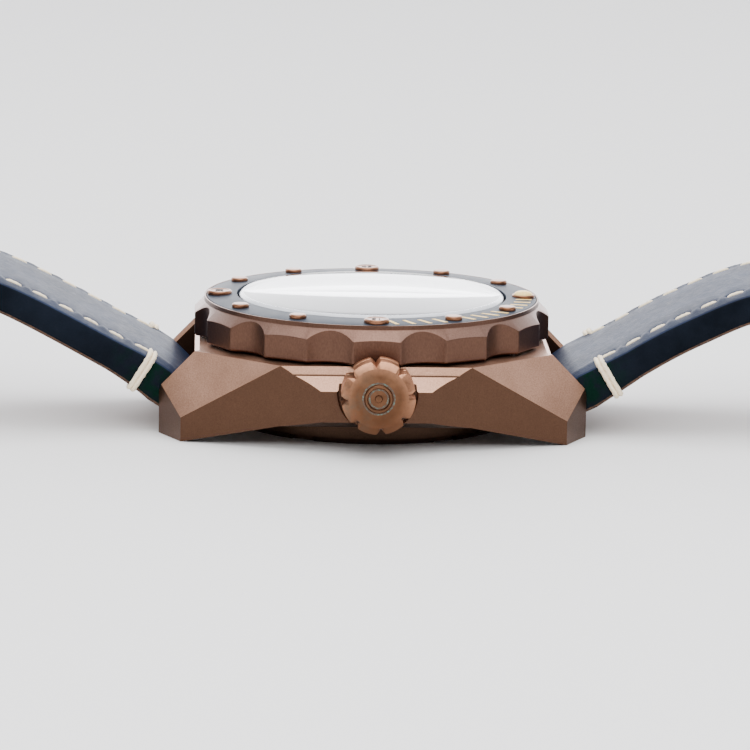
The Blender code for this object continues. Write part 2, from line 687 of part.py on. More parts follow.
def build_train():
    """Barrel with its mainspring, then centre, third, fourth and escape wheels, each on its own level."""
    brass = MATERIALS["brass"]
    steel = MATERIALS["steel"]
    third_at = polar(TRAIN_DISTANCE, THIRD_ANGLE)
    escape_at = polar(TRAIN_DISTANCE, ESCAPE_ANGLE)
    barrel_at = polar(BARREL_DISTANCE, BARREL_ANGLE)
    third_level = (5.45, 5.45 + WHEEL_THICKNESS)
    fourth_level = (5.85, 5.85 + WHEEL_THICKNESS)
    centre_level = (6.25, 6.25 + WHEEL_THICKNESS)
    barrel_level = (6.65, 6.95)

    module = gear_module("barrel", "centre_pinion", BARREL_DISTANCE)
    barrel_teeth = wheel_outline("barrel", module, BARREL_ANGLE + 180, barrel_at)
    centre_pinion = pinion_outline("centre_pinion", module, BARREL_ANGLE)
    stacked("mainspring_barrel", [(barrel_teeth, *barrel_level), (circle(4.1, 24, barrel_at), 6.95, 7.75)],
            brass, [circle(0.6, 10, barrel_at)], (*barrel_at, 7.0))
    bm = bmesh.new()
    stack(bm, [(circle(3.8, 24, barrel_at), 7.05, 9.0)])
    apply_tool(bpy.data.objects["mainspring_barrel"], add_cutter("barrel_cavity_cutter", bm))
    coil = [tuple(Vector(barrel_at) + Vector(point)) for point in spiral(0.9, 3.2, 5, 0.2, 12)]
    stacked("mainspring", [(coil, 7.15, 7.7)], steel, (), (*barrel_at, 7.0))
    arbor = circle(0.45, 10, barrel_at)
    stacked("barrel_arbor", [(arbor, 5.25, 7.75)], steel, (), (*barrel_at, 7.0))

    module = gear_module("centre_wheel", "third_pinion", TRAIN_DISTANCE)
    centre_wheel = wheel_outline("centre_wheel", module, THIRD_ANGLE)
    third_pinion = pinion_outline("third_pinion", module, THIRD_ANGLE + 180, third_at)
    tube = circle(0.5, 16)
    stacked("centre_wheel", [(centre_wheel, *centre_level), (tube, centre_level[1], barrel_level[0]),
                             (centre_pinion, *barrel_level), (tube, barrel_level[1], 9.8)],
            brass, [circle(0.29, 16)])

    module = gear_module("third_wheel", "fourth_pinion", TRAIN_DISTANCE)
    third_wheel = wheel_outline("third_wheel", module, THIRD_ANGLE + 180, third_at)
    fourth_pinion = pinion_outline("fourth_pinion", module, THIRD_ANGLE)
    arbor = circle(0.15, 8, third_at)
    stacked("third_wheel", [(arbor, 5.2, third_level[0]), (third_wheel, *third_level),
                            (arbor, third_level[1], centre_level[0]), (third_pinion, *centre_level),
                            (arbor, centre_level[1], 7.2)],
            brass, (), (*third_at, 6.0))

    module = gear_module("fourth_wheel", "escape_pinion", TRAIN_DISTANCE)
    fourth_wheel = wheel_outline("fourth_wheel", module, ESCAPE_ANGLE)
    escape_pinion = pinion_outline("escape_pinion", module, ESCAPE_ANGLE + 180, escape_at)
    arbor = circle(0.18, 16)
    stacked("fourth_wheel", [(arbor, 5.2, third_level[0]), (fourth_pinion, *third_level),
                             (arbor, third_level[1], fourth_level[0]), (fourth_wheel, *fourth_level),
                             (arbor, fourth_level[1], 11.3)], brass)

    escape_teeth = []
    pitch = 360 / ESCAPE_TEETH
    for i in range(ESCAPE_TEETH):
        for radius, angle in ((ESCAPE_ROOT_R, 0.0), (ESCAPE_TIP_R, 14.0), (ESCAPE_ROOT_R, 12.0)):
            escape_teeth.append(tuple(Vector(escape_at) + Vector(polar(radius, pitch * i + angle))))
    arbor = circle(0.12, 8, escape_at)
    stacked("escape_wheel", [(arbor, 5.2, fourth_level[0]), (escape_pinion, *fourth_level),
                             (arbor, fourth_level[1], 6.6), (escape_teeth, 6.6, 6.75), (arbor, 6.75, 7.2)],
            steel, (), (*escape_at, 6.0))


def build_escapement():
    """Pallet fork beside the escape wheel, and the balance wheel with its staff and hairspring."""
    steel = MATERIALS["steel"]
    escape_at = Vector(polar(TRAIN_DISTANCE, ESCAPE_ANGLE))
    pallet_at = escape_at + Vector(polar(PALLET_DISTANCE, PALLET_ANGLE))
    balance_at = pallet_at + Vector(polar(BALANCE_DISTANCE, BALANCE_ANGLE))
    fork_local = [
        (1.1, -1.42), (1.4, -1.15), (0.35, -0.05), (1.5, 0.5), (1.35, 1.15), (0.95, 0.75), (0.0, 0.4),
        (-0.95, 0.75), (-1.35, 1.15), (-1.5, 0.5), (-0.25, -0.25),
    ]
    turn_by = Matrix.Rotation(math.radians(-70), 2)
    fork = [tuple(pallet_at + turn_by @ Vector(point)) for point in fork_local]
    stacked("pallet_fork", [(circle(0.12, 8, pallet_at), 5.2, 6.6), (fork, 6.6, 6.75),
                            (circle(0.12, 8, pallet_at), 6.75, 7.2)], steel, (), (*pallet_at, 6.6))
    staff = circle(0.2, 8, balance_at)
    bm = bmesh.new()
    turn(bm, ring_profile(BALANCE_R - 0.5, BALANCE_R, 5.45, 5.85), 24)
    bmesh.ops.translate(bm, vec=(*balance_at, 0.0), verts=bm.verts)
    rim = add_object("balance_wheel", bm, MATERIALS["brass"], (*balance_at, 5.6))
    bm = bmesh.new()
    half_arm = [(3.05, 0.2), (0.5, 0.2), (0.5, 0.5), (-0.5, 0.5), (-0.5, 0.2), (-3.05, 0.2)]
    arm_turn = Matrix.Rotation(math.radians(37), 2)
    arm = [tuple(balance_at + arm_turn @ Vector(point)) for point in
           half_arm + [(-x, -y) for x, y in half_arm]]
    stack(bm, [(staff, 5.2, 5.5), (arm, 5.5, 5.75), (staff, 5.75, 7.2)])
    apply_tool(rim, add_cutter("balance_arm_tool", bm), "UNION")
    coil = [tuple(balance_at + Vector(point)) for point in spiral(0.45, 1.7, 4, 0.1, 10)]
    stacked("hairspring", [(coil, 6.85, 7.0)], steel, (), (*balance_at, 6.9))


def build_motion_work():
    """Cannon pinion, minute wheel and hour wheel under the dial, turning the hands 12 to 1."""
    steel = MATERIALS["steel"]
    brass = MATERIALS["brass"]
    minute_at = polar(MOTION_DISTANCE, MINUTE_WHEEL_ANGLE)
    lower_level = (8.47, 8.67)
    upper_level = (8.76, 8.94)
    module = gear_module("cannon_pinion", "minute_wheel", MOTION_DISTANCE)
    cannon = pinion_outline("cannon_pinion", module, MINUTE_WHEEL_ANGLE)
    minute_wheel = wheel_outline("minute_wheel", module, MINUTE_WHEEL_ANGLE + 180, minute_at)
    stacked("cannon_pinion", [(cannon, *lower_level), (circle(0.7, 16), lower_level[1], 10.85)],
            steel, [circle(0.57, 16)])
    module = gear_module("minute_pinion", "hour_wheel", MOTION_DISTANCE)
    minute_pinion = pinion_outline("minute_pinion", module, MINUTE_WHEEL_ANGLE + 180, minute_at)
    hour_wheel = wheel_outline("hour_wheel", module, MINUTE_WHEEL_ANGLE)
    stacked("minute_wheel", [(minute_wheel, *lower_level), (minute_pinion, lower_level[1], upper_level[1])],
            brass, (), (*minute_at, 8.6))
    stacked("hour_wheel", [(hour_wheel, *upper_level), (circle(1.1, 16), upper_level[1], 10.3)],
            brass, [circle(0.82, 16)])


def bridge(name, start, end, rim_start, rim_end):
    """A plate over one sector of the movement, with a rim that stands on the mainplate."""
    inner_r = 0.8
    plate_r = MOVEMENT_R - 0.3
    steps = 12
    rim_r = plate_r - 0.2
    plate = [polar(plate_r, start + (end - start) * i / steps) for i in range(steps + 1)]
    plate += [polar(inner_r, end), polar(inner_r, (start + end) / 2), polar(inner_r, start)]
    rim = [polar(rim_r, rim_start + (rim_end - rim_start) * i / steps) for i in range(steps + 1)]
    rim += [polar(rim_r - 0.8, rim_end - (rim_end - rim_start) * i / steps) for i in range(steps + 1)]
    stacked(name, [(plate, BRIDGE_BOTTOM, BRIDGE_TOP), (rim, BRIDGE_TOP, PLATE_BOTTOM - 0.05)],
            MATERIALS["nickel"])


def build_movement_frame():
    """Mainplate, bridges, holder ring, dial and the winding rotor on its bearing."""
    nickel = MATERIALS["nickel"]
    bm = bmesh.new()
    stack(bm, [(circle(MOVEMENT_R, 40), PLATE_BOTTOM, PLATE_TOP)], [circle(0.62, 16)])
    plate = add_object("mainplate", bm, nickel)
    bm = bmesh.new()
    stack(bm, [(circle(4.5, 24, polar(BARREL_DISTANCE, BARREL_ANGLE)), 7.0, 7.9)])
    apply_tool(plate, add_cutter("barrel_pocket_cutter", bm))
    bm = bmesh.new()
    slot = [(6.5, CROWN_Y - 0.6), (14.0, CROWN_Y - 0.6), (14.0, CROWN_Y + 0.6), (6.5, CROWN_Y + 0.6)]
    stack(bm, [(slot, 7.0, CROWN_Z + 0.65)])
    apply_tool(plate, add_cutter("stem_slot_cutter", bm))

    bridge("barrel_bridge", 12, 176, 20, 170)
    bridge("train_bridge", -78, 8, -74, -12)
    bridge("balance_cock", 180, 278, 181, 190)

    bm = bmesh.new()
    turn(bm, ring_profile(MOVEMENT_R + 0.15, MOVEMENT_BORE_R - 0.2, 4.5, 8.6), 36)
    ring = add_object("movement_ring", bm, MATERIALS["steel"])
    bm = bmesh.new()
    rod(bm, 0.9, 11.0, 16.0, 12, CROWN_Y, CROWN_Z)
    apply_tool(ring, add_cutter("ring_stem_cutter", bm))

    stacked("dial", [(circle(DIAL_R, 40), DIAL_BOTTOM, DIAL_TOP)], MATERIALS["dial"],
            [circle(DIAL_HOLE_R, 16)])

    stacked("rotor_bearing", [(circle(1.9, 16), 3.0, 3.2), (circle(1.2, 16), 3.2, 4.5)], MATERIALS["steel"])
    rotor_arc = 12
    heavy = [polar(12.3, 185 + 170 * i / rotor_arc) for i in range(rotor_arc + 1)]
    heavy += [polar(10.6, 355 - 170 * i / rotor_arc) for i in range(rotor_arc + 1)]
    web = [polar(12.35, 184 + 172 * i / rotor_arc) for i in range(rotor_arc + 1)]
    web += [polar(2.6, 20), polar(2.6, 55), polar(2.6, 90), polar(2.6, 125), polar(2.6, 160)]
    bm = bmesh.new()
    stack(bm, [(heavy, 2.6, 3.6), (web, 3.6, 3.95)])
    rotor = add_object("rotor", bm, nickel)
    bm = bmesh.new()
    stack(bm, [(circle(1.35, 16), 3.4, 4.2)])
    apply_tool(rotor, add_cutter("rotor_hole_cutter", bm))


def hand(name, angle, length, half_width, tail, hub, hole, bottom, thickness):
    """A tapered hand that points along a clockwise angle from 12; hub and hole are radii."""
    direction = 90 - angle
    bend = math.degrees(math.asin(min(1.0, half_width / hub)))
    point_start = length - 1.2
    points = [(length, 0.0), (point_start, half_width)]
    hub_arc = [polar(hub, bend + (180 - 2 * bend) * i / 4) for i in range(5)]
    points += hub_arc + [(-tail, half_width), (-tail, -half_width)]
    points += [(x, -y) for x, y in reversed(hub_arc)] + [(point_start, -half_width)]
    turn_by = Matrix.Rotation(math.radians(direction), 2)
    outline = [tuple(turn_by @ Vector(point)) for point in points]
    stacked(name, [(outline, bottom, bottom + thickness)], MATERIALS["bronze"], [circle(hole, 16)])


def build_hands():
    """The hands stand at nine minutes past ten, with the seconds at thirty-five."""
    hand("hour_hand", HOUR_HAND_ANGLE, 8.6, 0.75, 2.2, hub=1.6, hole=1.15, bottom=9.95, thickness=0.2)
    hand("minute_hand", MINUTE_HAND_ANGLE, 12.6, 0.6, 2.4, hub=1.25, hole=0.76, bottom=10.5, thickness=0.2)
    hand("second_hand", SECOND_HAND_ANGLE, 13.0, 0.12, 3.4, hub=0.6, hole=0.22, bottom=11.05, thickness=0.15)


# ---------------------------------------------------------------- strap
def smooth_route(points, samples):
    """Catmull-Rom curve through the points, with a few samples in every stretch."""
    padded = [Vector(p) for p in points]
    padded = [2 * padded[0] - padded[1]] + padded + [2 * padded[-1] - padded[-2]]
    route = []
    for a, b, c, d in zip(padded, padded[1:], padded[2:], padded[3:]):
        for i in range(samples):
            t = i / samples
            route.append(0.5 * (2 * b + (c - a) * t + (2 * a - 5 * b + 4 * c - d) * t ** 2
                                + (3 * b - a - 3 * c + d) * t ** 3))
    route.append(padded[-2])
    return route


def strap_stations(route, nose, heel):
    """(point, direction, distance, cap) along a route, with a rounded nose and heel added."""
    stations = []
    distance = 0.0
    for i, point in enumerate(route):
        ahead = route[min(i + 1, len(route) - 1)]
        behind = route[max(i - 1, 0)]
        direction = (ahead - behind).normalized()
        if i > 0:
            distance += (point - route[i - 1]).length
        stations.append((point, direction, distance, 1.0))
    first, last = stations[0], stations[-1]
    caps = (0.99, 0.87, 0.5)
    for cap in reversed(caps):
        stations.insert(0, (first[0] - first[1] * nose * cap, first[1], -nose * cap,
                            math.sqrt(1 - cap ** 2)))
    for cap in reversed(caps):
        stations.append((last[0] + last[1] * heel * cap, last[1], last[2] + heel * cap,
                         math.sqrt(1 - cap ** 2)))
    nose_part = sorted(stations[:3], key=lambda s: s[2])
    heel_part = sorted(stations[-3:], key=lambda s: s[2])
    return nose_part + stations[3:-3] + heel_part


def blend(value, table):
    """Straight interpolation in a short table of (position, value) pairs."""
    for (x0, y0), (x1, y1) in zip(table, table[1:]):
        if value <= x1:
            t = max(0.0, (value - x0) / (x1 - x0))
            return y0 + (y1 - y0) * t
    return table[-1][1]


def strap_solid(route, side, heights, widths, nose, heel):
    """A flat band with eased edges along a route on the 12 (side 1) or 6 o'clock (side -1) side.

    heights gives the half thickness and widths the half width against distance.
    """
    rings = []
    for point, direction, distance, cap in strap_stations(route, nose, heel):
        half = blend(distance, heights) * cap
        width = blend(distance, widths)
        ease = min(0.45, half * 0.8)
        up = Vector((-direction.y, direction.x))
        ring = []
        for x, n in ((-width + ease, -half), (width - ease, -half), (width, -half + ease),
                     (width, half - ease), (width - ease, half), (-width + ease, half),
                     (-width, half - ease), (-width, -half + ease)):
            place = point + up * n
            ring.append((x, side * place.x, place.y))
        rings.append(ring)
    bm = bmesh.new()
    loft(bm, rings)
    return bm


def build_strap_12():
    """The buckle half: folded round its spring bar and the buckle's bar."""
    route = smooth_route(STRAP_12_ROUTE, 2)
    heights = [(-3.0, 2.0), (0.0, 2.0), (2.5, 2.25), (9.0, 1.85), (30.0, 1.7), (70.0, 1.5), (90.0, 1.4)]
    widths = [(0.0, STRAP_HALF_WIDTH), (25.0, STRAP_HALF_WIDTH), (70.0, STRAP_END_HALF_WIDTH),
              (90.0, STRAP_END_HALF_WIDTH)]
    bm = strap_solid(route, 1, heights, widths, 2.0, 1.4)
    strap = add_object("strap_12", bm, MATERIALS["leather"], (0.0, BAR_Y, BAR_Z))
    bm = bmesh.new()
    rod(bm, BAR_R + 0.2, -14.0, 14.0, 12, BAR_Y, BAR_Z)
    apply_tool(strap, add_cutter("strap_12_bar_cutter", bm))
    bm = bmesh.new()
    rod(bm, BUCKLE_BAR_R + 0.15, -14.0, 14.0, 12, BUCKLE_Y, BUCKLE_Z)
    apply_tool(strap, add_cutter("strap_buckle_bar_cutter", bm))
    bm = bmesh.new()
    reach = TONGUE_SLOT_HALF_WIDTH
    slot = [(-reach, BUCKLE_Y - 4.5), (reach, BUCKLE_Y - 4.5), (reach, BUCKLE_Y + 4), (-reach, BUCKLE_Y + 4)]
    stack(bm, [(slot, -2.0, 8.0)])
    apply_tool(strap, add_cutter("strap_slot_cutter", bm))


def build_strap_6():
    """The long half, with the adjustment holes and a rounded point."""
    route = smooth_route(STRAP_6_ROUTE, 2)
    heights = [(-3.0, 2.0), (0.0, 2.0), (2.5, 2.25), (9.0, 1.85), (30.0, 1.7), (80.0, 1.45), (130.0, 1.35)]
    widths = [(0.0, STRAP_HALF_WIDTH), (25.0, STRAP_HALF_WIDTH), (75.0, STRAP_END_HALF_WIDTH),
              (107.0, STRAP_END_HALF_WIDTH), (112.0, 9.0), (116.0, 6.6), (119.0, 3.2)]
    bm = strap_solid(route, -1, heights, widths, 2.0, 0.6)
    strap = add_object("strap_6", bm, MATERIALS["leather"], (0.0, -BAR_Y, BAR_Z))
    bm = bmesh.new()
    rod(bm, BAR_R + 0.2, -14.0, 14.0, 12, -BAR_Y, BAR_Z)
    apply_tool(strap, add_cutter("strap_6_bar_cutter", bm))
    for i in range(TAIL_HOLES):
        y, z, tilt = point_on_route(route, FIRST_TAIL_HOLE + TAIL_HOLE_PITCH * i)
        bm = bmesh.new()
        stack(bm, [(circle(TAIL_HOLE_R, 8), -5.0, 5.0)])
        matrix = Matrix.Translation((0.0, -y, z)) @ Matrix.Rotation(-tilt, 4, "X")
        bmesh.ops.transform(bm, matrix=matrix, verts=bm.verts)
        apply_tool(strap, add_cutter("tail_hole_cutter_%d" % (i + 1), bm))


def point_on_route(route, wanted):
    """Position and slope angle at a distance along a route."""
    distance = 0.0
    for a, b in zip(route, route[1:]):
        step = (b - a).length
        if distance + step >= wanted:
            place = a + (b - a) * ((wanted - distance) / step)
            return place.x, place.y, math.atan2(b.y - a.y, b.x - a.x)
        distance += step
    return route[-1].x, route[-1].y, 0.0


def keeper(name, centre_y, length, pivot):
    """A leather loop round the strap, square to the strap's straight stretch."""
    half_x, half_z = STRAP_END_HALF_WIDTH + 0.45, 1.75
    inner = [(-half_z, -half_x), (half_z, -half_x), (half_z, half_x), (-half_z, half_x)]
    outer_x, outer_z = half_x + KEEPER_WALL, half_z + KEEPER_WALL
    ease = 0.6
    outer = [(-outer_z + ease, -outer_x), (outer_z - ease, -outer_x), (outer_z, -outer_x + ease),
             (outer_z, outer_x - ease), (outer_z - ease, outer_x), (-outer_z + ease, outer_x),
             (-outer_z, outer_x - ease), (-outer_z, -outer_x + ease)]
    bm = bmesh.new()
    stack(bm, [(outer, -length / 2, length / 2)], [inner])
    centre_z = BUCKLE_Z + (BUCKLE_Y - centre_y) * STRAP_SLOPE
    upright = Matrix(((0, 1, 0, 0), (0, 0, 1, 0), (1, 0, 0, 0), (0, 0, 0, 1)))
    tilt = Matrix.Rotation(-math.atan(STRAP_SLOPE), 4, "X")
    place = Matrix.Translation((0.0, centre_y, centre_z)) @ tilt @ upright
    bmesh.ops.transform(bm, matrix=place, verts=bm.verts)
    add_object(name, bm, MATERIALS["leather"], pivot)


def build_buckle():
    """Pin buckle: an open frame, its sprung bar through the strap, and the tongue."""
    pivot = (0.0, BUCKLE_Y, BUCKLE_Z)
    corner = 2.5
    rounding = [polar(corner, 90 * i / 3) for i in range(4)]
    right = [(BUCKLE_ARM_INNER_X, BUCKLE_Y - 1.6), (BUCKLE_ARM_OUTER_X, BUCKLE_Y - 1.6)]
    right += [(BUCKLE_ARM_OUTER_X - corner + x, BUCKLE_FRONT_Y - corner + y) for x, y in rounding]
    left = [(-x, y) for x, y in reversed(right)]
    inner = [(-BUCKLE_ARM_INNER_X, BUCKLE_FRONT_Y - 3.8), (BUCKLE_ARM_INNER_X, BUCKLE_FRONT_Y - 3.8)]
    bm = bmesh.new()
    stack(bm, [(right + left + inner, BUCKLE_BOTTOM, BUCKLE_TOP)])
    frame = add_object("buckle_frame", bm, MATERIALS["bronze"], pivot)
    bm = bmesh.new()
    rod(bm, BUCKLE_BAR_R + 0.1, -12.0, 12.0, 12, BUCKLE_Y, BUCKLE_Z)
    apply_tool(frame, add_cutter("buckle_hole_cutter", bm))
    bm = bmesh.new()
    rod(bm, BUCKLE_BAR_R, -11.8, 11.8, 12, BUCKLE_Y, BUCKLE_Z)
    add_object("buckle_bar", bm, MATERIALS["steel"], pivot)

    hub_r = 1.25
    hub = [polar(hub_r, 100 + 220 * i / 7) for i in range(8)]
    profile = [(y, z) for y, z in hub]
    profile += [(3.0, 0.55), (BUCKLE_FRONT_Y - 4.0 - BUCKLE_Y, 1.15), (BUCKLE_FRONT_Y + 0.3 - BUCKLE_Y, 1.15),
                (BUCKLE_FRONT_Y + 0.3 - BUCKLE_Y, 1.6), (BUCKLE_FRONT_Y - 0.8 - BUCKLE_Y, 2.0)]
    bm = bmesh.new()
    stack(bm, [(profile, -1.2, 1.2)], [circle(BUCKLE_BAR_R + 0.1, 12)])
    upright = Matrix(((0, 0, 1, 0), (1, 0, 0, BUCKLE_Y), (0, 1, 0, BUCKLE_Z), (0, 0, 0, 1)))
    bmesh.ops.transform(bm, matrix=upright, verts=bm.verts)
    add_object("buckle_tongue", bm, MATERIALS["bronze"], pivot)


def build_spring_bars():
    for side, name in ((1, "spring_bar_12"), (-1, "spring_bar_6")):
        bm = bmesh.new()
        tip_r = 0.4
        shoulder = LUG_INNER_X - 0.25
        profile = [
            (0.0, -LUG_INNER_X - 1.1), (tip_r, -LUG_INNER_X - 1.1), (tip_r, -shoulder), (BAR_R, -shoulder),
            (BAR_R, shoulder), (tip_r, shoulder), (tip_r, LUG_INNER_X + 1.1), (0.0, LUG_INNER_X + 1.1),
        ]
        turn(bm, profile, 12)
        bmesh.ops.transform(bm, matrix=along_x(side * BAR_Y, BAR_Z), verts=bm.verts)
        add_object(name, bm, MATERIALS["steel"], (0.0, side * BAR_Y, BAR_Z))


# ---------------------------------------------------------------- assembly
for old in list(bpy.data.objects):
    bpy.data.objects.remove(old, do_unlink=True)

MATERIALS = {
    "bronze": make_material("bronze", (0.36, 0.2, 0.13), 0.42, 1.0),
    "ceramic": make_material("ceramic", (0.05, 0.07, 0.1), 0.15, 0.0),
    "lume": make_material("lume", (0.85, 0.7, 0.42), 0.5, 0.0),
    "glass": make_material("glass", (0.9, 0.93, 0.97), 0.03, 0.0),
    "rubber": make_material("rubber", (0.02, 0.02, 0.02), 0.7, 0.0),
    "dial": make_material("dial", (0.03, 0.05, 0.09), 0.35, 0.2),
    "steel": make_material("steel", (0.55, 0.56, 0.58), 0.3, 1.0),
    "nickel": make_material("nickel", (0.62, 0.6, 0.56), 0.35, 1.0),
    "brass": make_material("brass", (0.7, 0.5, 0.22), 0.3, 1.0),
    "leather": make_material("leather", (0.02, 0.035, 0.07), 0.5, 0.0),
}

build_case_body()
build_case_back()
build_crystal()
build_bezel()
build_insert()
build_bezel_fittings()
build_crown()
build_train()
build_escapement()
build_motion_work()
build_movement_frame()
build_hands()
build_spring_bars()
build_strap_12()
build_strap_6()
keeper("fixed_keeper", FIXED_KEEPER_Y, FIXED_KEEPER_LENGTH, (0.0, BAR_Y, BAR_Z))
keeper("sliding_keeper", SLIDING_KEEPER_Y, SLIDING_KEEPER_LENGTH, (0.0, SLIDING_KEEPER_Y, 4.0))
build_buckle()
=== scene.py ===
"""Looks for the bronze dive watch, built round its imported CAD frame.

World frame: +X to the crown (3 o'clock), +Y to 12 o'clock, +Z out of the crystal.
Shapes are drawn in millimetres; make_piece() turns them into metres and ties them to a body.
"""
import bisect
import json
import math
import random

import bmesh
import bpy
from mathutils import Matrix, Vector
from mathutils.geometry import tessellate_polygon


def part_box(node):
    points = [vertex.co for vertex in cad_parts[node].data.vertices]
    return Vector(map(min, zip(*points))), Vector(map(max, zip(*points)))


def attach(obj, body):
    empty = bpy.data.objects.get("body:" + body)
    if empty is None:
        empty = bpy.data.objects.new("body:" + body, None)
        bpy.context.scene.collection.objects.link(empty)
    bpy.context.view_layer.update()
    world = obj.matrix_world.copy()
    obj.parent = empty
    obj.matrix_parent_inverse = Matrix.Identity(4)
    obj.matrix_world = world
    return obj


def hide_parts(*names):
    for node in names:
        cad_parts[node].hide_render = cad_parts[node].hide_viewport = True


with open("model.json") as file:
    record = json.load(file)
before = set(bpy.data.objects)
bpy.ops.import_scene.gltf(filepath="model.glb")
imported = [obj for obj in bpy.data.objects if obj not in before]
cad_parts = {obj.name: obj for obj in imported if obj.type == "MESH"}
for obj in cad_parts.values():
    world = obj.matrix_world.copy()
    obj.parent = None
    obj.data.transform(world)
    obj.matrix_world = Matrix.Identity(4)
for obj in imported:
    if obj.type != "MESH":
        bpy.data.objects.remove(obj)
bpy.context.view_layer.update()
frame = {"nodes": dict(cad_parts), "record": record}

MM = 0.001


# ---------------------------------------------------------------- sizes read from the frame
def corners(node):
    """Lowest and highest corner of a CAD node in millimetres."""
    low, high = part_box(node)
    return low / MM, high / MM


CASE_LOW, CASE_HIGH = corners("case_body")
BEZEL_LOW, BEZEL_HIGH = corners("bezel_ring")
INSERT_LOW, INSERT_HIGH = corners("bezel_insert")
CRYSTAL_LOW, CRYSTAL_HIGH = corners("crystal")
CROWN_LOW, CROWN_HIGH = corners("crown")
DIAL_LOW, DIAL_HIGH = corners("dial")
BACK_LOW, BACK_HIGH = corners("case_back")
BAR_LOW, BAR_HIGH = corners("spring_bar_12")
BUCKLE_LOW, BUCKLE_HIGH = corners("buckle_frame")

# Case
CASE_TOP = 10.09
CASE_BOTTOM = 2.84
CASE_END_Y = 21.43
LUG_INNER_X = 11.0
LUG_RIDGE_X = 11.5
LUG_TIP_RIDGE_Y = 25.43
LUG_CORNER = (16.3, 23.04)
LUG_CORNER_TOP = 2.91
WAIST = (20.55, 11.33)
GUARD_X = CASE_HIGH.x
GUARD_HALF_Y = 6.55
GUARD_CONTROL = (21.15, 8.95)
GUARD_STEP = (21.06, 9.09)
GUARD_EDGE_TOP = 7.45
GUARD_EDGE_BOTTOM = 3.75
EDGE_SOFTNESS = 0.07
WELD_REACH = 0.001
SLIVER_SIZE = 0.007
PLAIN_SIDE_BULGE = 0.7
STEM_BORE_R = 1.33
LUG_HOLE_R = 0.6
NECK_R = 17.1
NECK_TOP = CASE_HIGH.z
THREAD_BORE_R = 15.9
MOVEMENT_BORE_R = 14.6
DIAL_BORE_R = 15.2
CRYSTAL_BORE_R = 16.45
BACK_NOTCH_CIRCLE_R = 17.4

# Bezel, its insert and studs
BEZEL_FLAT_R = BEZEL_HIGH.x
BEZEL_BOTTOM = BEZEL_LOW.z
BEVEL_BOTTOM = 13.36
BEVEL_TOP = 14.43
LIP_R = 20.36
LIP_TOP = BEZEL_HIGH.z
LIP_WALL = 0.22
BEZEL_BORE_R = 17.4
BEZEL_SEAT_Z = 14.3
SCALLOPS = 12
SCALLOP_HALF_ANGLE = 7.5
SCALLOP_DEPTH = 0.95
INSERT_OUTER_R = 20.05
INSERT_INNER_R = 16.4
INSERT_OUTER_TOP = 14.98
STUD_CIRCLE_R = 18.5
BIG_STUD_R = 1.5
SMALL_STUD_R = 1.03
STUD_TOP = corners("bezel_stud_03")[1].z
PIP_TOP = corners("bezel_pip")[1].z

# Crystal, crown, dial
CRYSTAL_R = CRYSTAL_HIGH.x
CROWN_R = 4.38
CROWN_Y = (CROWN_HIGH.y + CROWN_LOW.y) / 2
CROWN_Z = (CROWN_HIGH.z + CROWN_LOW.z) / 2
CROWN_FACE_X = CROWN_HIGH.x
CROWN_POCKET_R = 4.65
CROWN_POCKET_X = 21.8
CROWN_NOTCHES = 8
CROWN_NOTCH_DEPTH = 0.75
CROWN_NOTCH_HALF_ANGLE = 7.5
CROWN_TWIST = 5.0
CRYSTAL_EDGE_TOP = 15.05
MARKER_CIRCLE_R = 11.4
HAND_THICKNESS = 0.2
DIAL_TOP = DIAL_HIGH.z

# Spring bars, strap and buckle
BAR_Y = (BAR_LOW.y + BAR_HIGH.y) / 2
BAR_Z = (BAR_LOW.z + BAR_HIGH.z) / 2
BAR_R = (BAR_HIGH.z - BAR_LOW.z) / 2
BUCKLE_BAR_Y = 99.0
BUCKLE_BAR_Z = 1.85
STRAP_END_HALF_WIDTH = 10.0
STRAP_NOSE = 2.0
HEEL_12 = 1.4
HEEL_6 = 0.6
LINING_THICKNESS = 0.3
STRAP_SLOPE = 0.107
KEEPER_HALF_GAP = 1.75
KEEPER_LENGTHS = {"fixed_keeper": 5.0, "sliding_keeper": 5.5}
STITCH_INSET = 2.5
STITCH_LENGTH = 2.2
STITCH_DIP = 0.3
STITCH_FLATNESS = 0.58
STITCH_PITCH = 3.4
STITCH_PITCH_12 = 3.3
STITCH_RISE = -0.1
LINING_STITCH_RISE = -0.14
THREAD_R = 0.38
FIRST_STITCH_6 = 6.4
FIRST_STITCH_12 = 6.85
LOOP_6 = 5.1
LOOP_12 = 5.5
TIP_START = 105.0
STRAP_12_ROUTE = [
    (BAR_Y, BAR_Z), (28.4, 7.0), (34.5, 10.7), (39.2, 13.1), (45.0, 15.6), (51.0, 16.9), (57.0, 16.0),
    (62.5, 12.7), (67.3, 8.5), (71.3, 5.7), (75.5, 4.37), (82.0, 3.67), (90.0, 2.81),
    (BUCKLE_BAR_Y, BUCKLE_BAR_Z),
]
STRAP_6_ROUTE = [
    (BAR_Y, BAR_Z), (28.0, 7.35), (34.7, 11.1), (41.4, 14.6), (46.0, 16.6), (54.0, 19.3), (64.0, 20.4),
    (75.0, 18.6), (86.0, 13.6), (96.0, 7.6), (105.0, 3.4), (114.0, 1.75), (124.0, 1.5), (134.0, 1.5),
]
# How the strap changes with the distance from its spring bar, as (distance, size) pairs
STRAP_HALF_HEIGHTS = [(-3, 2.0), (0, 2.0), (2.5, 2.25), (9, 1.85), (30, 1.7)]
STRAP_HALF_WIDTHS = [(0, 10.8), (25, 10.8)]
STRAP_PADDING = [(-3, 0.2), (3, 0.3), (45, 0.3), (60, 0.0)]

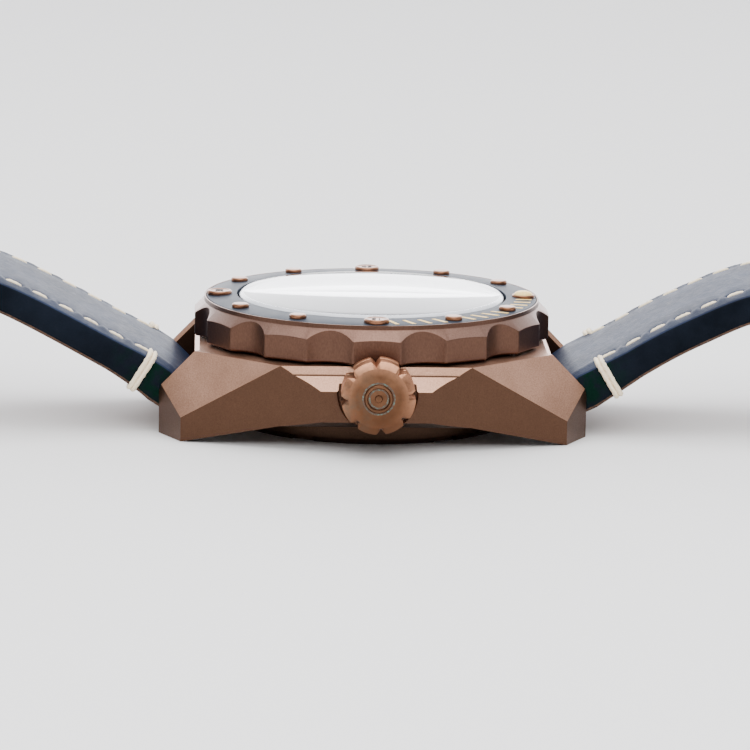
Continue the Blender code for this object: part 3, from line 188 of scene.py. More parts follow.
# Camera and light; angles are azimuth, elevation and roll in degrees, lengths in millimetres
CAMERA_ANGLES = (87.943, 10.85, 0.99)
CAMERA_DISTANCE = 600.0
CAMERA_TARGET = (0.0, 0.589, 5.177)
CAMERA_LENS = 235.6
SKY_BEHIND = 2.2
SKY_FRONT = 0.4
SKY_SEEN = 2.4
WALL_EXTRA = 6.0
TOP_POWER = 6.0
FRONT_POWER = 4.0
SKY_COLOUR = (0.93, 0.935, 0.97, 1.0)


# ---------------------------------------------------------------- shader nodes
class Nodes:
    """Short names for the shader nodes used here; an input is a socket or a constant."""

    def __init__(self, tree):
        self.tree = tree

    def node(self, kind, inputs=(), **settings):
        """A new node with its settings, and its inputs given as (name or index, source) pairs."""
        node = self.tree.nodes.new("ShaderNode" + kind)
        for key, value in settings.items():
            setattr(node, key, value)
        for socket, source in inputs:
            self.join(source, node.inputs[socket])
        return node

    def join(self, source, socket):
        """Feed a socket from another socket, or set it to a constant."""
        if isinstance(source, bpy.types.NodeSocket):
            self.tree.links.new(source, socket)
        else:
            socket.default_value = source

    def spread(self, value, low=0.3, high=0.7, to_low=0.0, to_high=1.0, **settings):
        """Map a range of a value to another range, without going past its ends."""
        ends = [("Value", value), ("From Min", low), ("From Max", high)]
        ends += [("To Min", to_low), ("To Max", to_high)]
        return self.node("MapRange", ends, **settings).outputs["Result"]

    def maths(self, operation, a, b):
        return self.node("Math", [(0, a), (1, b)], operation=operation).outputs[0]

    def part(self, vector, axis):
        """The X, Y or Z of a vector."""
        return self.node("SeparateXYZ", [(0, vector)]).outputs[axis]


class Surface(Nodes):
    """One procedural material: a Principled shader and the patterns that feed it."""

    def __init__(self, name, **values):
        self.material = bpy.data.materials.new(name)
        self.material.use_nodes = True
        super().__init__(self.material.node_tree)
        self.shader = self.tree.nodes["Principled BSDF"]
        self.place = self.node("TexCoord").outputs["Object"]
        for socket, value in values.items():
            self.shader.inputs[socket.replace("_", " ")].default_value = value

    def stretched(self, x, y, z):
        """The place of a point with each axis scaled, for grain that runs one way."""
        return self.node("VectorMath", [(0, self.place), (1, (x, y, z))], operation="MULTIPLY").outputs[0]

    def noise(self, size, detail=3.0, roughness=0.55, place=None, distortion=0.0):
        """Cloudy noise with features about size millimetres across."""
        inputs = [("Vector", place or self.place), ("Scale", 1.0 / (size * MM)), ("Detail", detail),
                  ("Roughness", roughness), ("Distortion", distortion)]
        return self.node("TexNoise", inputs).outputs["Fac"]

    def cells(self, size):
        inputs = [("Vector", self.place), ("Scale", 1.0 / (size * MM))]
        return self.node("TexVoronoi", inputs).outputs["Distance"]

    def blend(self, share, a, b):
        """Colour a where share is 0, colour b where it is 1."""
        colours = [(*c, 1.0) if isinstance(c, tuple) else c for c in (a, b)]
        inputs = [("Factor", share), (6, colours[0]), (7, colours[1])]
        return self.node("Mix", inputs, data_type="RGBA").outputs[2]

    def axis(self, name):
        return self.part(self.place, name)

    def relief(self, height, depth):
        """Bump the surface by depth millimetres where height goes from 0 to 1."""
        inputs = [("Height", height), ("Strength", 1.0), ("Distance", depth * MM)]
        previous = self.shader.inputs["Normal"].links
        if previous:
            inputs.append(("Normal", previous[0].from_socket))
        self.join(self.node("Bump", inputs).outputs["Normal"], self.shader.inputs["Normal"])

    def finish(self, colour, roughness, *reliefs):
        """Join the colour, the roughness and the (height, depth) reliefs; returns the material."""
        self.join(colour, self.shader.inputs["Base Color"])
        self.join(roughness, self.shader.inputs["Roughness"])
        for height, depth in reliefs:
            self.relief(height, depth)
        return self.material


def bronze(name, light, dark, side, roughness, grain=(1.0, 1.0, 1.0)):
    """Satin bronze: fine grain, cloudy patina, and painted shade on the upright faces, which take the colour
    side for how dimly the flanks are lit.
    """
    s = Surface(name, Metallic=1.0)
    cloud = s.noise(5.0, 4.0)
    fine = s.noise(0.16, 3.0, 0.6, s.stretched(*grain))
    tone = s.blend(s.spread(cloud, 0.35, 0.65), dark, light)
    facing_up = s.part(s.node("NewGeometry").outputs["Normal"], "Z")
    # Painted shade: faces that stand upright take the colour side in place of the patina tone, for how the
    # flanks are lit.
    upright = s.spread(facing_up, 0.1, 0.6, 1.0, 0.0)
    tone = s.blend(upright, tone, s.blend(s.spread(cloud), tuple(0.86 * c for c in side), side))
    grainy = s.blend(s.spread(fine, to_high=0.34), tone, tuple(0.4 * c for c in side))
    patchy = s.spread(cloud, 0.3, 0.7, roughness - 0.04, roughness + 0.04)
    rough = s.maths("ADD", s.spread(fine, 0.3, 0.7, -0.05, 0.05), patchy)
    return s.finish(grainy, rough, (fine, 0.006))


def patinated_copper():
    """The crown: warmer and blotchy, lighter at its rim from rubbed wear and a painted highlight, with
    painted shade towards the bottom, and stained on the left.
    """
    s = Surface("crown_bronze", Metallic=1.0)
    cloud = s.noise(1.6, 5.0, 0.6)
    spots = s.noise(0.5, 3.0, 0.7)
    fine = s.noise(0.12, 2.0)
    off_centre = [s.maths("POWER", s.maths("SUBTRACT", s.axis(name), middle * MM), 2.0)
                  for name, middle in (("Y", CROWN_Y), ("Z", CROWN_Z))]
    # A lighter rim: partly rubbed wear, partly a painted highlight.
    wear_and_highlight = s.spread(s.maths("ADD", *off_centre), (2.6 * MM) ** 2, (4.2 * MM) ** 2)
    tone = s.blend(s.spread(cloud), (0.105, 0.05, 0.026), (0.19, 0.09, 0.048))
    tone = s.blend(wear_and_highlight, tone, (0.56, 0.27, 0.155))
    # Painted shade: the lower part of the crown is darkened, because less of the light from above reaches it.
    below = s.spread(s.axis("Z"), (CROWN_Z + 3.0) * MM, (CROWN_Z - 3.0) * MM, 0.0, 0.9)
    tone = s.blend(below, tone, (0.085, 0.036, 0.018))
    tone = s.blend(s.spread(spots, 0.5, 0.75, 0.0, 0.4), tone, (0.1, 0.055, 0.035))
    to_left = s.spread(s.axis("Y"), CROWN_Y * MM, (CROWN_Y - 3.4) * MM, 0.0, 0.55)
    stain = s.maths("MULTIPLY", to_left, s.spread(s.noise(1.4, 3.0, 0.6), 0.45, 0.65))
    tone = s.blend(stain, tone, (0.085, 0.075, 0.055))
    return s.finish(tone, s.spread(cloud, 0.3, 0.7, 0.46, 0.32), (fine, 0.006), (spots, 0.015))


def verdigris():
    s = Surface("verdigris", Metallic=0.0)
    patch = s.noise(0.35, 4.0, 0.65)
    tone = s.blend(s.spread(patch, 0.5, 0.66), (0.075, 0.04, 0.024), (0.1, 0.17, 0.14))
    return s.finish(tone, s.spread(patch, 0.3, 0.7, 0.6, 0.85), (patch, 0.02))


def ceramic():
    s = Surface("insert_ceramic", Metallic=0.0, Specular_IOR_Level=0.06)
    cloud = s.noise(2.5, 3.0)
    tone = s.blend(s.spread(cloud), (0.026, 0.032, 0.044), (0.038, 0.046, 0.062))
    return s.finish(tone, s.spread(cloud, 0.3, 0.7, 0.42, 0.5), (s.noise(0.3), 0.001))


def painted(name, low, high, roughness, size=0.4, depth=0.004, gloss=0.5):
    """Any plain coated or moulded surface, mottled between two close colours."""
    s = Surface(name, Metallic=0.0, Specular_IOR_Level=gloss)
    speckle = s.noise(size, 4.0, 0.6)
    rough = s.spread(speckle, 0.3, 0.7, roughness - 0.05, roughness + 0.05)
    return s.finish(s.blend(s.spread(speckle), low, high), rough, (speckle, depth))


def sapphire():
    s = Surface("sapphire", Metallic=0.0, Transmission_Weight=1.0, IOR=1.55, Coat_Weight=0.0)
    smear = s.noise(6.0, 3.0)
    tone = s.blend(s.spread(smear), (0.97, 0.985, 1.0), (1.0, 1.0, 1.0))
    return s.finish(tone, s.spread(smear, 0.3, 0.7, 0.0, 0.03))


def sunray_dial():
    """Blue lacquer over fine rays that run out from the centre."""
    s = Surface("dial_lacquer", Metallic=0.6, Coat_Weight=0.6, Coat_Roughness=0.1)
    angle = s.maths("ARCTAN2", s.axis("Y"), s.axis("X"))
    rays = s.noise(20.0, 4.0, 0.6, s.node("CombineXYZ", [(0, angle)]).outputs[0])
    tone = s.blend(s.spread(rays, 0.35, 0.65), (0.02, 0.045, 0.1), (0.045, 0.09, 0.18))
    return s.finish(tone, s.spread(rays, 0.3, 0.7, 0.3, 0.42), (s.noise(0.25), 0.003))


def leather(name, low, high, roughness, crease=0.03, gloss=0.6, tint=None):
    """Oiled leather: pores, fine creases and cloudy dye; tint is (colour, y in mm, length in mm)."""
    s = Surface(name, Metallic=0.0, Specular_IOR_Level=gloss)
    cloud = s.noise(7.0, 4.0, 0.6)
    creases = s.noise(1.1, 5.0, 0.7, distortion=0.6)
    tone = s.blend(s.spread(cloud), low, high)
    if tint:
        colour, start, length = tint
        distance = s.maths("ABSOLUTE", s.axis("Y"), 0.0)
        near = s.spread(distance, (start + length) * MM, start * MM)
        blotches = s.spread(s.noise(1.6, 4.0), 0.4, 0.6)
        tone = s.blend(s.maths("MULTIPLY", near, blotches), tone, colour)
    rough = s.spread(creases, 0.3, 0.7, roughness + 0.06, roughness - 0.06)
    return s.finish(tone, rough, (s.cells(0.35), 0.5 * crease), (creases, crease))


def raw_edge():
    """The cut lower edge of the lining: brown, fibrous and frayed."""
    s = Surface("raw_edge", Metallic=0.0)
    fibres = s.noise(0.3, 5.0, 0.7, s.stretched(1.0, 0.35, 2.0))
    tone = s.blend(s.spread(fibres, 0.38, 0.72), (0.02, 0.009, 0.006), (0.16, 0.08, 0.045))
    return s.finish(tone, s.spread(fibres, 0.3, 0.7, 0.7, 0.95), (fibres, 0.08))


def thread():
    s = Surface("thread", Metallic=0.0, Sheen_Weight=0.2, Sheen_Roughness=0.5)
    fibres = s.noise(0.12, 4.0, 0.7)
    tone = s.blend(s.spread(fibres, 0.25, 0.6), (0.78, 0.6, 0.38), (1.0, 0.87, 0.64))
    return s.finish(tone, s.spread(fibres, 0.3, 0.7, 0.65, 0.85), (fibres, 0.03))


def brushed(name, low, high, roughness, grain):
    """Machined metal of the movement, with its grain along one axis."""
    s = Surface(name, Metallic=1.0)
    lines = s.noise(0.25, 4.0, 0.6, s.stretched(*grain))
    rough = s.spread(lines, 0.3, 0.7, roughness - 0.06, roughness + 0.08)
    return s.finish(s.blend(s.spread(lines), low, high), rough, (lines, 0.002))


def floor_paint():
    s = Surface("floor_paint", Metallic=0.0)
    cloud = s.noise(60.0, 2.0)
    tone = s.blend(s.spread(cloud), (0.78, 0.775, 0.77), (0.8, 0.795, 0.79))
    return s.finish(tone, s.spread(cloud, 0.3, 0.7, 0.75, 0.85))


# Each bronze's fourth colour is painted onto its upright faces: painted shade on the case, back and bezel,
# and painted light on the studs, whose flanks come out lighter than their tops.
BRONZE = bronze("case_bronze", (0.52, 0.3, 0.205), (0.43, 0.24, 0.16), (0.105, 0.054, 0.034), 0.4)
# The back's bronze is much darker than the case's: painted shade, for the shadow under the case.
SHADED_BACK_BRONZE = bronze("painted_shade_back_bronze", (0.2, 0.12, 0.08), (0.15, 0.09, 0.06), (0.08, 0.045, 0.03), 0.5)
BEZEL_BRONZE = bronze("bezel_bronze", (0.2, 0.118, 0.09), (0.16, 0.092, 0.07), (0.13, 0.067, 0.046), 0.4,
                      (1.0, 1.0, 0.5))
STUD_BRONZE = bronze("stud_bronze", (0.26, 0.125, 0.072), (0.2, 0.092, 0.052), (0.3, 0.14, 0.08), 0.34)
CROWN_BRONZE = patinated_copper()
VERDIGRIS = verdigris()
CERAMIC = ceramic()
SCALE_LUME = painted("scale_lume", (0.82, 0.54, 0.17), (0.95, 0.68, 0.26), 0.5, 0.25, gloss=0.08)
PIP_LUME = painted("pip_lume", (0.95, 0.64, 0.2), (1.0, 0.78, 0.34), 0.35, 0.3, gloss=0.15)
DIAL_LUME = painted("dial_lume", (0.78, 0.74, 0.55), (0.88, 0.84, 0.66), 0.5, 0.2)
SAPPHIRE = sapphire()
# A pale opaque coat for the crystal's bevel: a painted reflection of the bright surroundings.
SAPPHIRE_EDGE_PAINTED_REFLECTION = painted("sapphire_edge_painted_reflection", (0.66, 0.68, 0.72), (0.74, 0.76, 0.8), 0.2, 1.0, 0.001, 0.8)
DIAL_BLUE = sunray_dial()
CHAPTER = painted("chapter_lacquer", (0.02, 0.035, 0.07), (0.035, 0.055, 0.1), 0.35, 0.3)
DARK_INK = painted("dark_ink", (0.012, 0.012, 0.014), (0.03, 0.028, 0.027), 0.6, 0.2)
RUBBER = painted("seal_rubber", (0.012, 0.012, 0.012), (0.025, 0.025, 0.025), 0.7, 0.3)
STRAP_TOP = leather("strap_top", (0.007, 0.012, 0.03), (0.014, 0.024, 0.056), 0.52, gloss=0.09)
STRAP_EDGE = leather("strap_edge", (0.0015, 0.003, 0.006), (0.006, 0.009, 0.016), 0.6, 0.05, 0.05,
                     ((0.0, 0.012, 0.007), BAR_Y + 3.0, 5.0))
STRAP_LINING = leather("strap_lining", (0.1, 0.05, 0.028), (0.17, 0.09, 0.052), 0.65, 0.02, 0.3)
RAW_EDGE = raw_edge()
STRAP_MATERIALS = [STRAP_TOP, STRAP_EDGE, RAW_EDGE, STRAP_LINING]
THREAD = thread()
STEEL = brushed("polished_steel", (0.45, 0.46, 0.48), (0.62, 0.63, 0.65), 0.25, (1.0, 0.2, 1.0))
NICKEL = brushed("rhodium_plate", (0.5, 0.49, 0.46), (0.7, 0.68, 0.64), 0.3, (0.15, 1.0, 1.0))
BRASS = brushed("gilt_brass", (0.55, 0.38, 0.14), (0.75, 0.55, 0.24), 0.28, (1.0, 0.3, 1.0))
FLOOR_PAINT = floor_paint()


# ---------------------------------------------------------------- shape helpers, all in millimetres
def polar(distance, angle):
    return (distance * math.cos(math.radians(angle)), distance * math.sin(math.radians(angle)))


def bend(start, control, end, t):
    """A point part of the way along a quadratic curve."""
    return (1 - t) ** 2 * start + 2 * t * (1 - t) * control + t ** 2 * end


def moved(x, y, z=0.0):
    return Matrix.Translation((x, y, z))


def turned(angle, axis="Z"):
    return Matrix.Rotation(math.radians(angle), 4, axis)


def along_x(y, z):
    """Places a shape drawn along Z so that it runs along X, through the given y and z."""
    return moved(0.0, y, z) @ turned(90, "Y")


def eased(points, radius, steps=3, closed=True, only=None):
    """Turn corners of an outline into small curves; only lists the corners to ease, or all of them."""
    result = []
    for i, point in enumerate(points):
        here = Vector(point)
        at_end = not closed and i in (0, len(points) - 1)
        if at_end or (only is not None and i not in only):
            result.append(tuple(here))
            continue
        before = Vector(points[i - 1]) - here
        after = Vector(points[(i + 1) % len(points)]) - here
        reach = min(radius, 0.45 * before.length, 0.45 * after.length)
        start = here + before.normalized() * reach
        end = here + after.normalized() * reach
        result += [tuple(bend(start, here, end, k / steps)) for k in range(steps + 1)]
    return result


def circle(radius, count, centre=(0.0, 0.0)):
    around = [polar(radius, 360 * i / count) for i in range(count)]
    return [(centre[0] + x, centre[1] + y) for x, y in around]


def mirrored(outline):
    """An upper half outline followed by its image below the X axis."""
    return outline + [(x, -y) for x, y in reversed(outline) if y != 0.0]


def skin(bm, a, b):
    """Faces between two rings of vertices; a ring of one vertex becomes a fan."""
    count = max(len(a), len(b))
    faces = []
    for i in range(count):
        k = (i + 1) % count
        corners_here = [a[i % len(a)], a[k % len(a)], b[k % len(b)], b[i % len(b)]]
        unique = list(dict.fromkeys(corners_here))
        if len(unique) > 2:
            faces.append(bm.faces.new(unique))
    return faces


def skin_all(bm, rings, closed=False):
    for a, b in zip(rings, rings[1:] + rings[:1] if closed else rings[1:]):
        if len(a) + len(b) > 2:
            skin(bm, a, b)


def ring_at(bm, outline, height):
    return [bm.verts.new((x, y, height)) for x, y in outline]


def cap(bm, loops):
    """Close a flat end, which may have holes, with triangles."""
    flat = [vertex for loop in loops for vertex in loop]
    for triangle in tessellate_polygon([[vertex.co for vertex in loop] for loop in loops]):
        bm.faces.new([flat[i] for i in triangle])


def revolve(profile, segments, closed=False, ease=0.0, steps=2, only=None):
    """A (radius, height) profile, its corners eased, spun about Z; a closed one is a ring's section."""
    if ease:
        profile = eased(profile, ease, steps, closed, only)
    bm = bmesh.new()
    rings = []
    for radius, height in profile:
        on_axis = radius <= 1e-6
        rings.append(ring_at(bm, circle(radius, 1 if on_axis else segments), height))
    skin_all(bm, rings, closed)
    return bm


def prism(outline, bottom, top):
    bm = bmesh.new()
    lower, upper = (ring_at(bm, outline, height) for height in (bottom, top))
    cap(bm, [lower])
    cap(bm, [upper])
    skin(bm, lower, upper)
    return bm


def eased_plate(outline, bottom, top, ease, holes=()):
    """A plate whose upper and lower rims are chamfered by ease; the outline goes round anticlockwise."""
    shrunk = []
    for i, point in enumerate(outline):
        along = (Vector(outline[(i + 1) % len(outline)]) - Vector(outline[i - 1])).normalized()
        shrunk.append(tuple(Vector(point) + Vector((-along.y, along.x)) * ease))
    bm = bmesh.new()
    rims = ((shrunk, bottom), (outline, bottom + ease), (outline, top - ease), (shrunk, top))
    rows = [ring_at(bm, ring, z) for ring, z in rims]
    skin_all(bm, rows)
    hole_rows = []
    for hole in holes:
        hole_rows.append([ring_at(bm, hole, z) for z in (bottom, top)])
        skin(bm, *hole_rows[-1])
    for end, row in enumerate((rows[0], rows[-1])):
        cap(bm, [row] + [pair[end] for pair in hole_rows])
    return bm


def hull(points, bm=None):
    """The smallest bulging shape round the points, new or added to a shape."""
    bm = bm or bmesh.new()
    bmesh.ops.convex_hull(bm, input=[bm.verts.new(point) for point in points])
    return bm


def block(x, y, z):
    """A box centred on the origin."""
    bm = bmesh.new()
    bmesh.ops.create_cube(bm, size=1.0)
    bmesh.ops.scale(bm, vec=(x, y, z), verts=bm.verts)
    return bm


def rod(radius, start, end, segments, y, z):
    """A round tool along X."""
    profile = [(0.0, start), (radius, start), (radius, end), (0.0, end)]
    return placed(revolve(profile, segments), along_x(y, z))


def placed(bm, matrix):
    bmesh.ops.transform(bm, matrix=matrix, verts=bm.verts)
    return bm


def merge(bm, other):
    """Add another shape to this one and free it."""
    mesh = bpy.data.meshes.new("merging")
    other.to_mesh(mesh)
    other.free()
    bm.from_mesh(mesh)
    bpy.data.meshes.remove(mesh)
    return bm


def opened(mesh):
    bm = bmesh.new()
    bm.from_mesh(mesh)
    return bm


def stored(bm, mesh):
    bm.to_mesh(mesh)
    bm.free()
    return mesh


def to_mesh(name, bm):
    bmesh.ops.recalc_face_normals(bm, faces=bm.faces)
    bmesh.ops.scale(bm, vec=(MM, MM, MM), verts=bm.verts)
    return stored(bm, bpy.data.meshes.new(name))


def bevel(bm, edges, width, segments):
    bmesh.ops.bevel(bm, geom=edges, offset=width, segments=segments, profile=0.5, affect="EDGES",
                    clamp_overlap=True)


def welded(mesh):
    """The mesh with points that lie on each other joined, which closes its seams."""
    bm = opened(mesh)
    bmesh.ops.remove_doubles(bm, verts=bm.verts, dist=WELD_REACH * MM)
    return stored(bm, mesh)


def without_slivers(mesh):
    """The mesh with its thinnest leftover triangles closed up."""
    bm = opened(mesh)
    bmesh.ops.dissolve_degenerate(bm, edges=bm.edges, dist=SLIVER_SIZE * MM)
    return stored(bm, mesh)


def add_object(name, data):
    obj = bpy.data.objects.new(name, data)
    bpy.context.scene.collection.objects.link(obj)
    return obj


def evaluated_mesh(obj):
    """A new mesh of an object as it stands after its modifiers, with its seams closed."""
    bpy.context.view_layer.update()
    evaluated = obj.evaluated_get(bpy.context.evaluated_depsgraph_get())
    return welded(bpy.data.meshes.new_from_object(evaluated))


def carve(mesh, cutters, operation="DIFFERENCE"):
    """The mesh with closed tool shapes cut from it or joined to it; returns a new mesh."""
    body = add_object("carving", mesh)
    tools = []
    for cutter in cutters:
        tool = add_object("carving_tool", to_mesh("carving_tool", cutter))
        modifier = body.modifiers.new("cut", "BOOLEAN")
        modifier.operation = operation
        modifier.solver = "EXACT"
        modifier.object = tool
        tools.append(tool)
    result = evaluated_mesh(body)
    for obj in tools + [body]:
        bpy.data.objects.remove(obj)
    return result


def make_piece(name, shape, body, materials, replaced=(), sharp=30.0, flat_faces=False):
    """Turn a shape into a piece of the watch that rides on a body of the frame."""
    mesh = to_mesh(name, shape) if isinstance(shape, bmesh.types.BMesh) else shape
    mesh.name = name
    materials = materials if isinstance(materials, list) else [materials]
    indexes = [min(face.material_index, len(materials) - 1) for face in mesh.polygons]
    mesh.materials.clear()
    for material in materials:
        mesh.materials.append(material)
    mesh.polygons.foreach_set("material_index", indexes)
    mesh.shade_smooth()
    mesh.set_sharp_from_angle(angle=math.radians(sharp))
    obj = add_object(name, mesh)
    if flat_faces:
        modifier = obj.modifiers.new("weighted_normals", "WEIGHTED_NORMAL")
        modifier.keep_sharp = True
    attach(obj, body)
    if replaced:
        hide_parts(*replaced)


# ---------------------------------------------------------------- case
def case_outline():
    """The case from above, anticlockwise, with the guards' flanks as smooth curves."""
    slope = (LUG_CORNER[1] - LUG_TIP_RIDGE_Y) / (LUG_CORNER[0] - LUG_RIDGE_X)
    tip = (LUG_INNER_X, LUG_CORNER[1] + slope * (LUG_INNER_X - LUG_CORNER[0]))
    lug = [(LUG_INNER_X, CASE_END_Y), tip, LUG_CORNER, WAIST]
    steps = 20
    guard = []
    for i in range(1, steps + 1):
        t = i / steps
        x = bend(WAIST[0], GUARD_CONTROL[0], GUARD_X, t)
        guard.append((x, bend(WAIST[1], GUARD_CONTROL[1], GUARD_HALF_Y, t)))
    plain = []
    for i in range(1, steps):
        y = WAIST[1] * (1 - i / steps)
        plain.append((WAIST[0] + PLAIN_SIDE_BULGE * (1 - (y / WAIST[1]) ** 2), y))
    waist_ease = 0.5
    crown_side, left_side = (
        eased(lug + flank, waist_ease, 3, closed=False, only=[lug.index(WAIST)]) for flank in (guard, plain)
    )
    outline = crown_side + [(x, -y) for x, y in reversed(crown_side)]
    outline += [(-x, -y) for x, y in left_side]
    outline += [(-WAIST[0] - PLAIN_SIDE_BULGE, 0.0)]
    outline += [(-x, y) for x, y in reversed(left_side)]
    return outline[::-1]


def slice_off(bm, point, normal):
    """Cut away everything on the normal's side of a plane, and close the cut."""
    geometry = bm.verts[:] + bm.edges[:] + bm.faces[:]
    result = bmesh.ops.bisect_plane(
        bm, geom=geometry, plane_co=point, plane_no=normal, dist=1e-5, clear_outer=True,
    )
    cut_edges = [g for g in result["geom_cut"] if isinstance(g, bmesh.types.BMEdge)]
    bmesh.ops.holes_fill(bm, edges=cut_edges, sides=0)


def lug_plane(side_x, side_y):
    """A point and the direction of one lug's sloping top facet."""
    ridge = Vector((side_x * LUG_RIDGE_X, side_y * CASE_END_Y, CASE_TOP))
    waist = Vector((side_x * WAIST[0], side_y * WAIST[1], CASE_TOP))
    corner = Vector((side_x * LUG_CORNER[0], side_y * LUG_CORNER[1], LUG_CORNER_TOP))
    normal = (waist - ridge).cross(corner - ridge).normalized()
    return ridge, normal if normal.z > 0 else -normal


def case_blank():
    """The closed block of the case with its facets and softened edges, before anything is bored in it."""
    bm = bmesh.new()
    lower, upper = (ring_at(bm, case_outline(), height) for height in (0.0, CASE_TOP))
    bm.faces.new(lower)
    bm.faces.new(upper)
    skin(bm, lower, upper)
    bmesh.ops.recalc_face_normals(bm, faces=bm.faces)
    for side_x in (1, -1):
        for side_y in (1, -1):
            slice_off(bm, *lug_plane(side_x, side_y))
    rise = CASE_TOP - GUARD_STEP[1]
    run = GUARD_STEP[0] - WAIST[0]
    slice_off(bm, (-WAIST[0], 0.0, CASE_TOP), (-rise, 0.0, run))
    mesh = carve(to_mesh("blank", bm), [guard_top_tool()])
    bm = opened(mesh)
    bmesh.ops.dissolve_limit(bm, angle_limit=math.radians(0.5), verts=bm.verts, edges=bm.edges)
    crisp = [e for e in bm.edges if len(e.link_faces) == 2 and e.is_convex and e.calc_length() > 0.3 * MM
             and e.calc_face_angle() > math.radians(12)]
    bevel(bm, crisp, EDGE_SOFTNESS * MM, 2)
    return stored(bm, mesh)


def guard_top_tool():
    """Cuts the crown side's steep shoulder and, below its step, the gentler slope to the guards' edge."""
    shoulder = Vector((WAIST[0], CASE_TOP))
    step = Vector(GUARD_STEP)
    edge = Vector((GUARD_X, GUARD_EDGE_TOP))
    start = shoulder + 0.4 * (shoulder - step)
    end = edge + 0.4 * (edge - step)
    far_x = GUARD_X + 3.0
    section = [tuple(start), tuple(step), tuple(end), (far_x, end.y), (far_x, start.y)]
    upright = Matrix(((1, 0, 0, 0), (0, 0, 1, 0), (0, 1, 0, 0), (0, 0, 0, 1)))
    return placed(prism(section, -WAIST[1] - 1.0, WAIST[1] + 1.0), upright)


def underside_tools():
    """Tools that hollow the underside up from the lug tips' lower edges to the mid-case."""
    edge = (LUG_CORNER[0] - LUG_RIDGE_X) / (LUG_TIP_RIDGE_Y - LUG_CORNER[1])
    half_x = LUG_CORNER[0] + LUG_CORNER[1] * edge
    half_y = half_x / edge
    waist_x = WAIST[0] + WAIST[1] * edge
    shrink = (half_x - waist_x) / half_x
    hollow = []
    for height in (-1.0, CASE_BOTTOM):
        scale = 1 - shrink * height / CASE_BOTTOM
        for x, y in ((half_x, 0), (-half_x, 0), (0, half_y), (0, -half_y)):
            hollow.append((x * scale, y * scale, height))
    reach = 2.0
    far_x = GUARD_X + reach
    far_z = GUARD_EDGE_BOTTOM + reach * (GUARD_EDGE_BOTTOM - CASE_BOTTOM) / (GUARD_X - WAIST[0])
    wedge = []
    for y in (-WAIST[1], WAIST[1]):
        wedge += [(WAIST[0], y, CASE_BOTTOM), (far_x, y, far_z), (far_x, y, 0.0), (WAIST[0], y, 0.0)]
    return [hull(hollow), hull(wedge)]


def lug_inner_bevels():
    """Wedges that slope the inner side of each lug down from its ridge, and the case's two ends."""
    drop = 0.8
    above = 3.0
    inner_x = LUG_INNER_X - 0.1
    tools = []
    for side_y in (1, -1):
        for side_x in (1, -1):
            point, normal = lug_plane(side_x, side_y)
            points = []
            for y in (side_y * (CASE_END_Y - 0.6), side_y * (LUG_TIP_RIDGE_Y + 0.5)):
                offset = Vector((side_x * LUG_RIDGE_X, y, 0.0)) - point
                ridge_z = point.z - (offset.x * normal.x + offset.y * normal.y) / normal.z
                corners_here = ((LUG_RIDGE_X, ridge_z), (inner_x, ridge_z - drop),
                                (LUG_RIDGE_X, ridge_z + above), (inner_x, ridge_z + above))
                points += [(side_x * x, y, z) for x, z in corners_here]
            tools.append(hull(points))
        points = []
        inside, outside = side_y * (CASE_END_Y - 0.55), side_y * (CASE_END_Y + 0.1)
        for x in (-LUG_INNER_X - 0.2, LUG_INNER_X + 0.2):
            points += [(x, inside, CASE_TOP), (x, outside, CASE_TOP - 0.5),
                       (x, outside, CASE_TOP + 1.0), (x, inside, CASE_TOP + 1.0)]
        tools.append(hull(points))
    return tools


def guard_groove():
    """The fine step line along the crown guards, where their two slopes meet."""
    half_width, depth, above, reach = 0.07, 0.2, 0.6, 14.0
    points = []
    for y in (-reach, reach):
        for z in (GUARD_STEP[1] - depth, GUARD_STEP[1] + above):
            points += [(GUARD_STEP[0] - half_width, y, z), (GUARD_STEP[0] + half_width, y, z)]
    return hull(points)


def build_case():
    segments = 128
    neck_foot = CASE_TOP - 1
    neck = revolve([(0.0, neck_foot), (NECK_R, neck_foot), (NECK_R, NECK_TOP), (0.0, NECK_TOP)], segments)
    mesh = carve(case_blank(), [neck], "UNION")
    steps_down = ((THREAD_BORE_R, -2.0, 4.2), (MOVEMENT_BORE_R, 4.2, 9.0), (DIAL_BORE_R, 9.0, 12.1),
                  (CRYSTAL_BORE_R, 12.1, 16.0))
    profile = [(radius, z) for radius, low, high in steps_down for z in (low, high)]
    stepped_bore = revolve([(0.0, -2.0)] + profile + [(0.0, 16.0)], segments)
    flare = 0.3
    rim = [(0.0, CROWN_POCKET_X), (CROWN_POCKET_R, CROWN_POCKET_X), (CROWN_POCKET_R, GUARD_X - 0.5 * flare),
           (CROWN_POCKET_R + flare, GUARD_X + 0.5 * flare), (CROWN_POCKET_R + flare, 30.0), (0.0, 30.0)]
    pocket = placed(revolve(rim, 96), along_x(CROWN_Y, CROWN_Z))
    tools = underside_tools() + [stepped_bore, pocket] + lug_inner_bevels() + [guard_groove()]
    tools.append(rod(STEM_BORE_R, 12.0, 23.0, 48, CROWN_Y, CROWN_Z))
    pin_reach = LUG_INNER_X + 1.3
    for side in (1, -1):
        tools.append(rod(LUG_HOLE_R, -pin_reach, pin_reach, 32, side * BAR_Y, BAR_Z))
    mesh = without_slivers(carve(mesh, tools))
    make_piece("case_middle", mesh, "case", BRONZE, ["case_body"], flat_faces=True)


